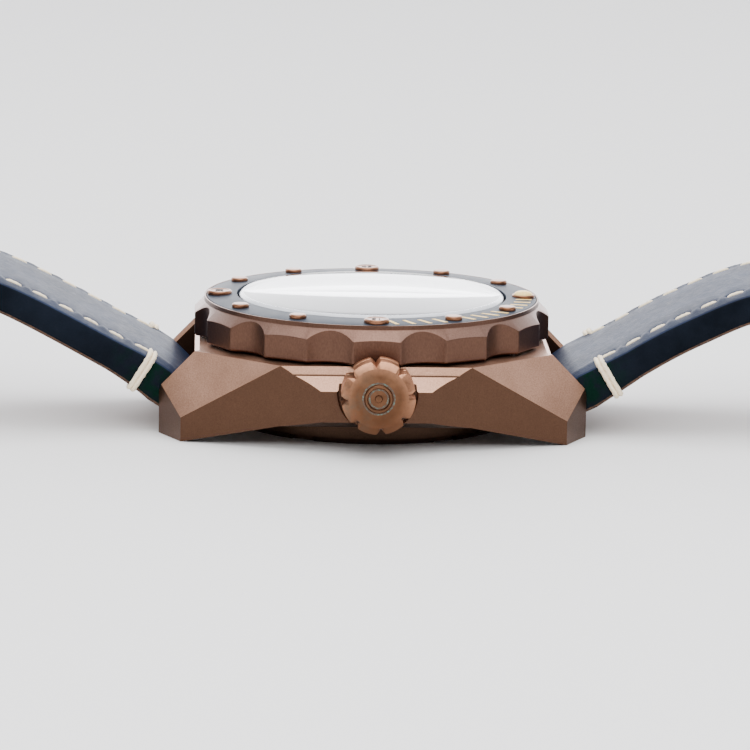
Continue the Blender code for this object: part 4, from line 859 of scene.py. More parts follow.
def build_back():
    """Screw-in back with six key notches and two turned rings."""
    outer_r = BACK_HIGH.x
    inner_top = 2.1
    thread_z, thread_r, inner_r = 2.45, 15.55, 14.9
    profile = [(0.0, 0.25), (9.0, 0.25), (9.3, 0.0), (12.2, 0.0), (12.5, 0.2), (13.4, 0.2), (13.7, 0.0),
               (outer_r - 0.7, 0.0), (outer_r, 0.7), (outer_r, thread_z), (thread_r, thread_z),
               (thread_r, BACK_HIGH.z), (inner_r, BACK_HIGH.z), (inner_r, inner_top), (0.0, inner_top)]
    back = to_mesh("back", revolve(profile, 128, ease=0.08))
    notches = []
    for angle in range(30, 390, 60):
        where = moved(*polar(BACK_NOTCH_CIRCLE_R, angle)) @ turned(angle)
        notches.append(placed(block(2.0, 3.0, 1.4), where))
    # The back takes the darker bronze, painted shade for the shadow under the case.
    make_piece("screw_back", carve(back, notches), "case", SHADED_BACK_BRONZE, ["case_back"])


# ---------------------------------------------------------------- bezel
def bezel_outline():
    """Twelve flats centred on the hours with twelve hollows between them."""
    period = 360 / SCALLOPS
    half_chord = BEZEL_FLAT_R * math.tan(math.radians(SCALLOP_HALF_ANGLE))
    arc_r = (half_chord ** 2 + SCALLOP_DEPTH ** 2) / (2 * SCALLOP_DEPTH)
    arc_centre = BEZEL_FLAT_R - SCALLOP_DEPTH + arc_r
    sweep = math.asin(half_chord / arc_r)
    hollow_steps, flat_steps = 18, 10
    outline = []
    corner_places = []
    for i in range(SCALLOPS):
        turn = Matrix.Rotation(math.radians((i + 0.5) * period), 2)
        onward = Matrix.Rotation(math.radians((i + 1.5) * period), 2)
        corner_places.append(len(outline))
        for k in range(hollow_steps + 1):
            angle = sweep * (2 * k / hollow_steps - 1)
            outline.append(turn @ Vector((arc_centre - arc_r * math.cos(angle), arc_r * math.sin(angle))))
        corner_places.append(len(outline) - 1)
        start = turn @ Vector((BEZEL_FLAT_R, half_chord))
        end = onward @ Vector((BEZEL_FLAT_R, -half_chord))
        outline += [start.lerp(end, k / flat_steps) for k in range(1, flat_steps)]
    return [Vector(p) for p in eased([tuple(p) for p in outline], 0.14, 2, only=corner_places)]


def build_bezel():
    slope = (BEVEL_TOP - BEVEL_BOTTOM) / (BEZEL_FLAT_R - LIP_R)
    lip_inner = LIP_R - LIP_WALL
    foot = 0.2
    bm = bmesh.new()
    sections = []
    for point in bezel_outline():
        radius = point.length
        wall_top = BEVEL_TOP - (radius - LIP_R) * slope
        section = [
            (BEZEL_BORE_R, BEZEL_BOTTOM), (radius - foot, BEZEL_BOTTOM), (radius, BEZEL_BOTTOM + foot),
            (radius, wall_top), (LIP_R, BEVEL_TOP), (LIP_R, LIP_TOP), (lip_inner, LIP_TOP),
            (lip_inner, BEZEL_SEAT_Z), (BEZEL_BORE_R, BEZEL_SEAT_Z),
        ]
        out = point.normalized()
        sections.append([bm.verts.new((out.x * r, out.y * r, z)) for r, z in eased(section, 0.06, 2)])
    for i in range(len(sections)):
        skin(bm, sections[i - 1], sections[i])
    make_piece("bezel_grip", bm, "bezel", BEZEL_BRONZE, ["bezel_ring"], flat_faces=True)


def insert_top(radius):
    """Height of the insert's sloping top at a radius."""
    share = (INSERT_OUTER_R - radius) / (INSERT_OUTER_R - INSERT_INNER_R)
    return INSERT_OUTER_TOP + share * (INSERT_HIGH.z - INSERT_OUTER_TOP)


def build_insert():
    profile = [(INSERT_INNER_R, INSERT_LOW.z), (INSERT_OUTER_R, INSERT_LOW.z),
               (INSERT_OUTER_R, INSERT_OUTER_TOP), (INSERT_INNER_R, INSERT_HIGH.z)]
    ring = revolve(profile, 192, closed=True, ease=0.1, steps=3)
    make_piece("insert_ring", ring, "bezel", CERAMIC, ["bezel_insert"])

    bm = bmesh.new()
    inner_r, outer_r = 17.6, 19.5
    lean, half_width = 1.2, 0.72
    proud, sunk = 0.025, 0.15
    for minute in range(1, 15):
        if minute % 5 == 0:
            continue
        middle = 90 - 6 * minute
        points = []
        for radius, shift in ((inner_r, -lean), (outer_r, lean)):
            for offset in (-half_width, half_width):
                x, y = polar(radius, middle + shift + offset)
                top = insert_top(radius)
                points += [(x, y, top + proud), (x, y, top - sunk)]
        hull(points, bm)
    make_piece("insert_minute_stripes", bm, "bezel", SCALE_LUME, ())


def build_stud(hour):
    """A flat-topped stud with a chamfered rim, or at 3, 6 and 9 a bigger dished one with a number."""
    big = hour % 3 == 0
    radius = BIG_STUD_R if big else SMALL_STUD_R
    dish_depth, wall, chamfer, shank_inset = 0.07, 0.42, 0.14, 0.15
    foot = INSERT_LOW.z
    seat = insert_top(STUD_CIRCLE_R)
    profile = [(0.0, STUD_TOP)]
    if big:
        dish_r = radius - wall
        profile = [(0.0, STUD_TOP - dish_depth), (dish_r, STUD_TOP - dish_depth), (dish_r + 0.12, STUD_TOP)]
    profile += [(radius - chamfer, STUD_TOP), (radius, STUD_TOP - chamfer), (radius, seat - 0.02),
                (radius - shank_inset, seat - 0.05), (radius - shank_inset, foot), (0.0, foot)]
    x, y = polar(STUD_CIRCLE_R, 90 - 30 * hour)
    stud = placed(revolve(profile, 48, ease=0.05), moved(x, y))
    make_piece("stud_%02d" % hour, stud, "bezel", STUD_BRONZE, ["bezel_stud_%02d" % hour])
    if big:
        digits = text_mesh(str(5 * hour), 1.35, 0.03)
        digits.transform(moved(x * MM, y * MM, (STUD_TOP - 0.06) * MM) @ turned(-30 * hour))
        make_piece("stud_number_%02d" % hour, digits, "bezel", DARK_INK, ())


def build_pip():
    """The lume pip at 12: a collar round a domed lens."""
    centre = moved(*polar(STUD_CIRCLE_R, 90))
    radius = 1.38
    lens_r = 1.15
    bore_r = lens_r + 0.01
    foot = INSERT_LOW.z
    collar_top = PIP_TOP - 0.45
    collar = [(bore_r, collar_top), (radius - 0.08, collar_top), (radius, collar_top - 0.1),
              (radius, foot), (bore_r, foot)]
    ring = revolve(collar, 64, closed=True, ease=0.04)
    make_piece("pip_collar", placed(ring, centre), "bezel", STUD_BRONZE, ())
    steps = 12
    dome = [(0.0, foot), (lens_r, foot)]
    for i in range(steps + 1):
        angle = math.radians(90 * i / steps)
        rise = (PIP_TOP - collar_top + 0.05) * math.sin(angle)
        dome.append((lens_r * math.cos(angle), collar_top - 0.05 + rise))
    make_piece("pip_dome", placed(revolve(dome, 64), centre), "bezel", PIP_LUME, ["bezel_pip"])


def text_mesh(words, size, depth):
    """A mesh of flat numerals, centred on the origin, size millimetres high."""
    curve = bpy.data.curves.new("numerals", "FONT")
    curve.body = words
    curve.size = size * MM
    curve.extrude = depth * MM
    curve.align_x = "CENTER"
    curve.align_y = "CENTER"
    holder = add_object("numerals", curve)
    mesh = evaluated_mesh(holder)
    bpy.data.objects.remove(holder)
    return mesh


# ---------------------------------------------------------------- crystal, dial and hands
def build_crystal():
    """Thick domed sapphire with a polished bevel; the bevel and rim are coated pale, a painted reflection."""
    bevel_width = 0.35
    bevel_r = CRYSTAL_R - bevel_width
    bevel_top = CRYSTAL_EDGE_TOP + bevel_width
    profile = [(0.0, CRYSTAL_LOW.z), (CRYSTAL_R, CRYSTAL_LOW.z), (CRYSTAL_R, CRYSTAL_EDGE_TOP)]
    steps = 16
    for i in range(steps):
        radius = bevel_r * (1 - i / steps)
        profile.append((radius, bevel_top + (CRYSTAL_HIGH.z - bevel_top) * (1 - (radius / bevel_r) ** 2)))
    profile.append((0.0, CRYSTAL_HIGH.z))
    bm = revolve(profile, 160, ease=0.12, steps=3, only=[2, 3])
    # Faces at the rim take the pale coat, a painted reflection.
    for face in bm.faces:
        middle = face.calc_center_median()
        painted_reflection_rim = math.hypot(middle.x, middle.y) > bevel_r - 0.1 and middle.z > CRYSTAL_EDGE_TOP - 0.6
        face.material_index = 1 if painted_reflection_rim else 0
    make_piece("domed_crystal", bm, "case", [SAPPHIRE, SAPPHIRE_EDGE_PAINTED_REFLECTION], ["crystal"], sharp=60)


def build_dial():
    hole_r = 1.3
    plate = [(hole_r, DIAL_LOW.z), (DIAL_HIGH.x, DIAL_LOW.z), (DIAL_HIGH.x, DIAL_TOP), (hole_r, DIAL_TOP)]
    make_piece("dial_plate", revolve(plate, 128, closed=True, ease=0.04), "case", DIAL_BLUE, ["dial"])
    low, high = corners("chapter_ring")
    inner_r, upper_r = 13.9, 14.8
    slope = [(inner_r, low.z), (high.x, low.z), (high.x, high.z), (upper_r, high.z)]
    ring = revolve(slope, 128, closed=True, ease=0.05)
    make_piece("chapter_slope", ring, "case", CHAPTER, ["chapter_ring"])

    ticks = bmesh.new()
    tilt = math.degrees(math.atan2(high.z - low.z, upper_r - inner_r))
    for minute in range(60):
        width, height = (0.34, 1.5) if minute % 5 == 0 else (0.16, 0.9)
        tick = placed(block(height, width, 0.05), turned(-tilt, "Y"))
        placed(tick, moved((inner_r + upper_r) / 2, 0.0, (low.z + high.z) / 2))
        merge(ticks, placed(tick, turned(6 * minute)))
    make_piece("chapter_ticks", ticks, "case", DIAL_LUME, ())


def build_markers():
    """A raised frame filled with lume at every hour: a wedge, three batons and eight discs."""
    frames, fills = bmesh.new(), bmesh.new()
    foot = DIAL_TOP - 0.02
    for hour in range(1, 13):
        angle = 90 - 30 * hour
        place = moved(*polar(MARKER_CIRCLE_R, angle)) @ turned(angle)
        if hour == 12:
            outline = eased([(-1.5, 0.0), (1.3, -1.25), (1.3, 1.25)], 0.2, 4)
        elif hour % 3 == 0:
            outline = eased([(-1.7, -0.55), (1.3, -0.55), (1.3, 0.55), (-1.7, 0.55)], 0.2, 4)
        else:
            outline = circle(0.95, 40)
        window, fill = ([(x * share, y * share) for x, y in outline] for share in (0.78, 0.77))
        merge(frames, placed(eased_plate(outline, foot, DIAL_TOP + 0.3, 0.05, [window]), place))
        merge(fills, placed(eased_plate(fill, foot, DIAL_TOP + 0.27, 0.04), place))
    make_piece("hour_marker_frames", frames, "case", STUD_BRONZE, ())
    make_piece("hour_marker_lume", fills, "case", DIAL_LUME, ())


def build_hand(name, node, body, angle, length, half_width, hub_r, hole_r, waist):
    """A sword-shaped hand with a window of lume, lying where the CAD hand lies."""
    top = corners(node)[1].z
    bottom = top - HAND_THICKNESS
    widest = 0.72 * (length - 1.3)
    blade = [(length, 0.0), (widest, half_width), (waist, half_width * 0.45)]
    hub = [polar(hub_r, 20 + 140 * i / 12) for i in range(13)]
    upper = hub + [(-hub_r - 1.0, half_width * 0.6)]
    outline = blade + upper + [(x, -y) for x, y in reversed(upper)] + [(x, -y) for x, y in blade[:0:-1]]
    window = [(length - 1.5, 0.0), (widest, half_width * 0.62), (waist + 0.9, half_width * 0.32),
              (waist + 0.9, -half_width * 0.32), (widest, -half_width * 0.62)]
    hand = eased_plate(eased(outline, 0.08, 2), bottom, top, 0.03, [circle(hole_r, 32), window])
    make_piece(name, placed(hand, turned(90 - angle)), body, STUD_BRONZE, [node])
    fill = placed(prism(window, bottom + 0.03, top - 0.02), turned(90 - angle))
    make_piece(name + "_lume", fill, body, DIAL_LUME, ())


def build_hands():
    """Nine minutes past ten, with the seconds at 35."""
    build_hand("hour_sword", "hour_hand", "hours", 304.5, 8.6, 1.0, 1.6, 1.15, 2.4)
    build_hand("minute_sword", "minute_hand", "minutes", 54.0, 12.6, 0.85, 1.25, 0.76, 2.2)
    top = corners("second_hand")[1].z
    turn = turned(90 - 210)
    half = 0.11
    ball_x, ball_r = 9.2, 0.62
    upper_arc = [polar(ball_r, a) for a in range(20, 161, 20)]
    outline = [(13.0, 0.0), (12.8, half), (ball_x + 0.6, half)]
    outline += [(ball_x + x, y) for x, y in upper_arc]
    outline += [(ball_x - 0.6, half), (0.6, half)] + upper_arc + [(-0.6, 0.18), (-3.4, 0.3)]
    needle = placed(eased_plate(mirrored(outline), top - 0.15, top, 0.02), turn)
    make_piece("seconds_needle", needle, "seconds", STUD_BRONZE, ["second_hand"])
    lume = placed(prism(circle(0.45, 32, (ball_x, 0.0)), top - 0.1, top + 0.03), turn)
    make_piece("seconds_lume", lume, "seconds", DIAL_LUME, ())


# ---------------------------------------------------------------- crown
def crown_radius(angle, radius):
    """Radius of the crown's rim at an angle, with V notches that run out at the face disc."""
    period = 360 / CROWN_NOTCHES
    offset = abs((angle + period / 2) % period - period / 2)
    floor = CROWN_R - CROWN_NOTCH_DEPTH
    notch = floor + CROWN_NOTCH_DEPTH * offset / CROWN_NOTCH_HALF_ANGLE
    return min(radius, max(notch, floor))


def crown_angles():
    """Directions round the crown, closer together across the notches and at their corners."""
    period = 360 / CROWN_NOTCHES
    half_notch = [0.03, 0.33, 0.66, 0.98, 1.02, 1.15]
    steps = [share * CROWN_NOTCH_HALF_ANGLE for share in [-s for s in reversed(half_notch)] + half_notch]
    wide = steps[-1]
    steps += [wide + (period - 2 * wide) * k / 12 for k in range(1, 12)]
    return [i * period + step for i in range(CROWN_NOTCHES) for step in steps]


def build_crown():
    """A notched knob: a plain back band, a groove, the gripping rim, a chamfer and a shallow domed face."""
    face_x = CROWN_FACE_X - 0.2
    face_rise = 0.1
    disc_r = 3.5
    back_x = CROWN_LOW.x
    bore_r = 1.75
    bore_end = CROWN_FACE_X - 1.1
    groove_r = CROWN_R - 0.12
    shape = [(bore_end, 0.0), (bore_end, bore_r - 0.05), (back_x + 0.1, bore_r), (back_x, bore_r + 0.1),
             (back_x, CROWN_R - 0.25), (back_x + 0.2, CROWN_R), (back_x + 1.2, CROWN_R),
             (back_x + 1.26, groove_r), (back_x + 1.42, groove_r), (back_x + 1.48, CROWN_R),
             (face_x - 0.44, CROWN_R), (face_x - 0.4, CROWN_R - 0.05), (face_x - 0.03, disc_r + 0.06),
             (face_x - 0.02, disc_r - 0.02)]
    shape += [(face_x + face_rise * (1 - (r / disc_r) ** 2), r) for r in (3.2, 2.6, 2.0, 1.3, 0.6)]
    shape.append((face_x + face_rise, 0.0))
    smooth_inside = 2.0
    bm = bmesh.new()
    rings = []
    for x, radius in shape:
        if radius == 0.0:
            rings.append([bm.verts.new((0.0, 0.0, x))])
            continue
        radii = [(radius if radius < smooth_inside else crown_radius(a, radius), a) for a in crown_angles()]
        rings.append(ring_at(bm, [polar(r, a) for r, a in radii], x))
    skin_all(bm, rings)
    centre = moved(0.0, CROWN_Y, CROWN_Z)
    upright = turned(90, "Y")
    placed(bm, centre @ turned(CROWN_TWIST, "X") @ upright)
    make_piece("crown_knob", bm, "crown", CROWN_BRONZE, ["crown"], sharp=18)

    ring_top, boss_top = CROWN_FACE_X + 0.12, CROWN_FACE_X + 0.08
    ring = [(1.2, face_x), (1.75, face_x), (1.6, ring_top), (1.35, ring_top)]
    boss = [(0.0, face_x), (0.5, face_x), (0.4, boss_top), (0.0, boss_top)]
    mark = merge(revolve(ring, 64, closed=True, ease=0.06), revolve(boss, 32, ease=0.06))
    make_piece("crown_ring_mark", placed(mark, centre @ upright), "crown", CROWN_BRONZE, ())

    foot = face_x + face_rise
    buried = foot - 0.12
    inner = [(1.0, buried), (1.0, foot - 0.005), (1.19, foot + 0.015), (1.19, buried)]
    outer = [(1.76, buried), (1.76, foot), (1.95, foot - 0.025), (1.95, buried)]
    dirt = merge(revolve(inner, 64, closed=True), revolve(outer, 64, closed=True))
    make_piece("crown_verdigris", placed(dirt, centre @ upright), "crown", VERDIGRIS, ())


# ---------------------------------------------------------------- strap
def blended(value, table):
    """Straight interpolation in a short table of (position, value) pairs."""
    for (x0, y0), (x1, y1) in zip(table, table[1:]):
        if value <= x1:
            return y0 + (y1 - y0) * max(0.0, (value - x0) / (x1 - x0))
    return table[-1][1]


def lengths_along(points):
    """How far along a path each of its points lies."""
    reached = [0.0]
    for a, b in zip(points, points[1:]):
        reached.append(reached[-1] + (b - a).length)
    return reached


class Route:
    """The middle line of one strap half, measured from its spring bar; side is 1 at 12, -1 at 6."""

    def __init__(self, points, side, half_heights, half_widths):
        self.side = side
        self.half_heights = half_heights
        self.half_widths = half_widths
        padded = [Vector(p) for p in points]
        padded = [2 * padded[0] - padded[1]] + padded + [2 * padded[-1] - padded[-2]]
        samples = 24
        self.line = []
        for a, b, c, d in zip(padded, padded[1:], padded[2:], padded[3:]):
            for i in range(samples):
                t = i / samples
                self.line.append(0.5 * (2 * b + (c - a) * t + (2 * a - 5 * b + 4 * c - d) * t ** 2
                                        + (3 * b - a - 3 * c + d) * t ** 3))
        self.line.append(padded[-2])
        self.reached = lengths_along(self.line)
        self.length = self.reached[-1]

    def at(self, distance):
        """Point and direction in the (y, z) plane; the line runs on straight past its ends."""
        if distance <= 0.0:
            direction = (self.line[1] - self.line[0]).normalized()
            return self.line[0] + direction * distance, direction
        if distance >= self.length:
            direction = (self.line[-1] - self.line[-2]).normalized()
            return self.line[-1] + direction * (distance - self.length), direction
        i = bisect.bisect_right(self.reached, distance) - 1
        step = self.line[i + 1] - self.line[i]
        return self.line[i] + step * ((distance - self.reached[i]) / step.length), step.normalized()

    def place(self, distance, x, height):
        """A point at a height off the middle line, square to it."""
        point, direction = self.at(distance)
        where = point + Vector((-direction.y, direction.x)) * height
        return Vector((x, self.side * where.x, where.y))

    def up(self, distance):
        return self.place(distance, 0.0, 1.0) - self.place(distance, 0.0, 0.0)

    def half_height(self, distance):
        return blended(distance, self.half_heights)

    def half_width(self, distance):
        return blended(distance, self.half_widths)

    def pad(self, distance):
        """How far the padding lifts the middle of the top."""
        return blended(distance, STRAP_PADDING)


def rounded_tip(start, length, half_width):
    """Half widths of an elliptical strap end, as (distance, half width) pairs."""
    steps = 24
    angles = [math.pi / 2 * i / steps for i in range(steps)]
    return [(start + length * math.sin(a), half_width * math.cos(a)) for a in angles]


def strap_section(width, half, pad, dip, fray):
    """One side of the strap's section, from the middle of the lining round the edge to the middle
    of the top, as (x, height, material of the stretch that follows). The top slopes up from the
    edge to the row of stitches, which pull it down by dip. In the rounded tip, where the strap is
    narrower than its pattern, the pattern shrinks with it."""
    pattern_width = 5.4
    if width < pattern_width:
        shrink = width / pattern_width
        return [(x * shrink, h, zone) for x, h, zone in strap_section(pattern_width, half, pad, dip, fray)]
    top, edge, raw, lining = range(len(STRAP_MATERIALS))
    row = width - STITCH_INSET
    seam = LINING_THICKNESS - half
    groove = 0.05
    level = half + pad
    swell = 0.07
    return [
        (0.0, -half, lining), (row - 0.7, -half, lining), (row - 0.3, groove - half, lining),
        (row + 0.3, groove - half, lining), (row + 0.7, -half, raw), (width - 0.25, -half, raw),
        (width - 0.1 + fray, 0.1 - half, raw), (width - 0.04 + fray, seam, raw),
        (width - 0.12, seam + 0.04, edge), (width, seam + 0.16, edge),
        (width + 0.03, 0.3 * half, edge), (width, half - 0.34, edge), (width - 0.06, half - 0.17, top),
        (width - 0.2, half - 0.06, top), (width - 0.42, half, top), (row + 1.1, half + 0.6 * pad, top),
        (row + 0.55, level - 0.3 * dip, top), (row + 0.26, level - 0.75 * dip, top), (row, level - dip, top),
        (row - 0.26, level - 0.75 * dip, top), (row - 0.55, level - 0.2 * dip, top),
        (row - 1.3, level + 0.05, top), (0.5 * row, level + swell, top), (0.0, level + swell, top),
    ]


def build_leather(node, route, heel, stitch_centres, cutters):
    """A padded leather band that dips under every stitch and bulges between them."""
    chance = random.Random(11)
    narrowest_dipped = 4
    dip_shape = [(0.0, 1.0), (0.8, 1.0), (1.3, -0.35), (1.6, -0.35), (3.5, 0.0)]
    count = int(route.length / (0.5))
    cap_steps = 7
    cap_angles = [math.pi / 2 * i / cap_steps for i in range(1, cap_steps)]
    stations = [(-STRAP_NOSE * math.cos(a), math.sin(a)) for a in cap_angles]
    stations += [(route.length * i / count, 1.0) for i in range(count + 1)]
    stations += [(route.length + heel * math.sin(a), math.cos(a)) for a in cap_angles]
    bm = bmesh.new()
    rows, zones = [], []
    for distance, thinning in stations:
        nearest = min(abs(distance - centre) for centre in stitch_centres)
        width = route.half_width(distance)
        dip = STITCH_DIP * blended(nearest, dip_shape) if width > narrowest_dipped else 0.0
        fray = chance.uniform(-0.08, 0.04)
        half = strap_section(width, route.half_height(distance), route.pad(distance), dip, fray)
        outline = [(x, h) for x, h, _ in half] + [(-x, h) for x, h, _ in reversed(half[1:-1])]
        rows.append([bm.verts.new(route.place(distance, x, h * thinning)) for x, h in outline])
        own = [zone for _, _, zone in half[:-1]]
        zones = own + own[::-1]
    for a, b in zip(rows, rows[1:]):
        for face, zone in zip(skin(bm, a, b), zones):
            face.material_index = zone
    for row in (rows[0], rows[-1]):
        bm.faces.new(row)
    mesh = to_mesh(node, bm)
    for material in STRAP_MATERIALS:
        mesh.materials.append(material)
    make_piece(node + "_leather", carve(mesh, cutters), node, STRAP_MATERIALS, [node], sharp=50)


def thread_along(bm, points, radius, lean=0.0, up=None):
    """Three-ply thread swept along a path of points; given an up direction, it lies flattened and
    runs out to a point at both ends, like a stitch pulled tight."""
    plies, around = 3, 12
    turns_per_mm = 0.5
    taper = 0.7
    ply_middle, ply_depth = 0.9, 0.12
    flat = STITCH_FLATNESS if up else 1.0
    rows = []
    side = None
    for i, (point, travelled) in enumerate(zip(points, lengths_along(points))):
        ahead = points[min(i + 1, len(points) - 1)]
        behind = points[max(i - 1, 0)]
        along = (ahead - behind).normalized()
        if side is None:
            side = along.cross(up).normalized() if up else along.orthogonal().normalized()
        side = (side - along * side.dot(along)).normalized()
        other = along.cross(side)
        twist = 2 * math.pi * turns_per_mm * travelled + lean
        ring = []
        end = abs(2 * i / (len(points) - 1) - 1) if up else 0.0
        slim = 1 - taper * end ** 4
        for k in range(around):
            angle = 2 * math.pi * k / around
            reach = slim * radius * (ply_middle + ply_depth * math.cos(plies * (angle - twist)))
            offset = side * (reach * math.cos(angle)) + other * (flat * reach * math.sin(angle))
            ring.append(bm.verts.new(point + offset))
        rows.append(ring)
    skin_all(bm, rows)
    bm.faces.new(rows[0])
    bm.faces.new(rows[-1])


def along_stitch():
    """Steps from -1 to 1 along a stitch, each with how far the thread has sunk there."""
    steps = 8
    for i in range(steps + 1):
        u = -1 + 2 * i / steps
        yield u, 0.3 * u ** 6


def stitches_on_row(bm, route, centres, sign, length, surface, chance):
    """One row of stitches; surface is 1 on the top of the strap and -1 on its lining."""
    for centre in centres:
        slant = chance.uniform(-0.05, 0.05)
        shift = chance.uniform(-0.06, 0.06)
        points = []
        for u, sunk in along_stitch():
            distance = centre + shift + u * length / 2
            x = sign * (route.half_width(distance) - STITCH_INSET) + slant * u
            rise = STITCH_RISE + route.pad(distance) if surface > 0 else LINING_STITCH_RISE
            height = route.half_height(distance) + rise - sunk
            points.append(route.place(distance, x, surface * height))
        thread_along(bm, points, THREAD_R, chance.uniform(0.0, 6.28), route.up(centre))


def tip_stitches(bm, route, start, surface, chance):
    """Stitches that follow the rounded end of the strap from one edge to the other."""
    steps = 240
    tip_length = route.length + HEEL_6 - TIP_START
    rise = 0.08 if surface > 0 else -0.02
    overlap = 0.12
    path = []
    for i in range(steps + 1):
        angle = math.pi * i / steps - math.pi / 2
        distance = TIP_START + (tip_length - STITCH_INSET) * math.cos(angle)
        path.append(Vector((distance, -(STRAP_END_HALF_WIDTH - STITCH_INSET) * math.sin(angle))))
    reached = lengths_along(path)
    lead = start - TIP_START
    count = int((reached[-1] - 2 * lead) / STITCH_PITCH + 0.5)
    pitch = (reached[-1] - 2 * lead) / count
    length = STITCH_LENGTH if surface > 0 else pitch - STITCH_LENGTH
    for k in range(count + 1):
        centre = lead + pitch * k + (pitch / 2 if surface < 0 else 0.0)
        if centre > reached[-1] - lead + 0.1:
            continue
        points = []
        for u, sunk in along_stitch():
            wanted = min(max(centre + u * (length / 2 + overlap), 0.0), reached[-1])
            j = min(bisect.bisect_right(reached, wanted) - 1, len(path) - 2)
            share = (wanted - reached[j]) / (reached[j + 1] - reached[j])
            spot = path[j].lerp(path[j + 1], share)
            points.append(route.place(spot.x, spot.y, surface * (route.half_height(spot.x) + rise - sunk)))
        thread_along(bm, points, THREAD_R, chance.uniform(0.0, 6.28), route.up(TIP_START))


def edge_loop(bm, route, distance, sign):
    """Two turns of thread bound over the strap's edge, from the top seam to the lining's."""
    half = route.half_height(distance)
    width = route.half_width(distance)
    off = THREAD_R - 0.1
    row = width - STITCH_INSET
    top = half + route.pad(distance)
    hole_x = row - 0.12
    sunk = 0.3
    outline = [(hole_x, top - sunk), (row, top + 0.1), (width - 0.5, half + off), (width + 0.05, half + 0.12),
               (width + off, half - 0.5), (width + off, 0.0), (width + off, 0.5 - half),
               (width + 0.05, -half - 0.1), (width - 0.5, -half - off), (row, -half - 0.1),
               (hole_x, sunk - half)]
    outline = eased(outline, 0.4, 4, closed=False)
    for offset in (-0.75 * THREAD_R, 0.75 * THREAD_R):
        points = [route.place(distance + offset, sign * x, height) for x, height in outline]
        thread_along(bm, points, THREAD_R * 0.85, offset * 4)


def build_stitching(node, route, centres, pitch, loop_at, round_tip=False):
    chance = random.Random(7)
    bm = bmesh.new()
    for sign in (1, -1):
        stitches_on_row(bm, route, centres, sign, STITCH_LENGTH, 1, chance)
        below = [c + pitch / 2 for c in centres]
        stitches_on_row(bm, route, below, sign, pitch - STITCH_LENGTH, -1, chance)
        edge_loop(bm, route, loop_at, sign)
    if round_tip:
        for surface in (1, -1):
            tip_stitches(bm, route, centres[-1] + pitch, surface, chance)
    make_piece(node + "_stitching", bm, node, THREAD, (), sharp=60)


def bore(radius, y, z):
    """A round cutter along X, through the whole strap."""
    return placed(prism(circle(radius, 32), -14.0, 14.0), along_x(y, z))


def build_strap_12():
    """The buckle's half, folded round the spring bar and the buckle's bar, with a slot for the tongue."""
    route = Route(STRAP_12_ROUTE, 1, STRAP_HALF_HEIGHTS + [(70, 1.5), (90, 1.4)],
                  STRAP_HALF_WIDTHS + [(70, STRAP_END_HALF_WIDTH), (90, STRAP_END_HALF_WIDTH)])
    centres = [FIRST_STITCH_12 + STITCH_PITCH_12 * i for i in range(19)]
    slot_x, slot_back, slot_front = 1.8, -4.5, 4.0
    outline = [(-slot_x, slot_back), (slot_x, slot_back), (slot_x, slot_front), (-slot_x, slot_front)]
    slot = placed(prism(eased(outline, 1.2, 4), -2.0, 8.0), moved(0.0, BUCKLE_BAR_Y))
    cutters = [bore(0.95, BAR_Y, BAR_Z), bore(0.75, BUCKLE_BAR_Y, BUCKLE_BAR_Z), slot]
    build_leather("strap_12", route, HEEL_12, centres, cutters)
    build_stitching("strap_12", route, centres, STITCH_PITCH_12, LOOP_12)


def build_strap_6():
    """The long half, with a rounded tip and seven holes."""
    route = Route(STRAP_6_ROUTE, -1, STRAP_HALF_HEIGHTS + [(80, 1.45), (130, 1.35)], [])
    tip = rounded_tip(TIP_START, route.length + HEEL_6 - TIP_START, STRAP_END_HALF_WIDTH)
    route.half_widths = STRAP_HALF_WIDTHS + [(75, STRAP_END_HALF_WIDTH)] + tip
    count = int((TIP_START - FIRST_STITCH_6) / STITCH_PITCH)
    centres = [FIRST_STITCH_6 + STITCH_PITCH * i for i in range(count)]
    hole_r, first_hole, hole_pitch = 0.95, 58.0, 6.5
    cutters = [bore(0.95, -BAR_Y, BAR_Z)]
    for i in range(7):
        point, direction = route.at(first_hole + hole_pitch * i)
        tilt = Matrix.Rotation(-math.atan2(direction.y, direction.x), 4, "X")
        cutters.append(placed(prism(circle(hole_r, 24), -5.0, 5.0), moved(0.0, -point.x, point.y) @ tilt))
    build_leather("strap_6", route, HEEL_6, centres, cutters)
    build_stitching("strap_6", route, centres, STITCH_PITCH, LOOP_6, round_tip=True)


def build_keeper(name, node, body):
    """A folded leather loop, square to the straight stretch of strap that it is on."""
    low, high = corners(node)
    wall, corner, softness = 0.9, 0.9, 0.3
    half_x = high.x - wall / 2
    half_z = KEEPER_HALF_GAP + wall / 2
    half_length = KEEPER_LENGTHS[node] / 2
    section = eased([(-wall / 2, -half_length), (wall / 2, -half_length), (wall / 2, half_length),
                     (-wall / 2, half_length)], softness, 3)
    bm = bmesh.new()
    rows = []
    for side_x, side_z, start in ((1, 1, 0), (-1, 1, 90), (-1, -1, 180), (1, -1, 270)):
        for angle in range(start, start + 91, 15):
            out = polar(1.0, angle)
            x, z = polar(corner, angle)
            x += side_x * (half_x - corner)
            z += side_z * (half_z - corner)
            rows.append([bm.verts.new((x + out[0] * r, y, z + out[1] * r)) for r, y in section])
    skin_all(bm, rows, closed=True)
    bmesh.ops.recalc_face_normals(bm, faces=bm.faces)
    outside, ends, inside = range(3)
    for face in bm.faces:
        middle = face.calc_center_median()
        outward = Vector((middle.x, 0.0, middle.z)).dot(face.normal)
        face.material_index = ends if abs(face.normal.y) > 0.6 else (outside if outward > 0 else inside)
    middle = (low + high) / 2
    placed(bm, moved(0.0, middle.y, middle.z) @ Matrix.Rotation(-math.atan(STRAP_SLOPE), 4, "X"))
    make_piece(name, bm, body, [STRAP_TOP, STRAP_EDGE, STRAP_LINING], [node], sharp=50)


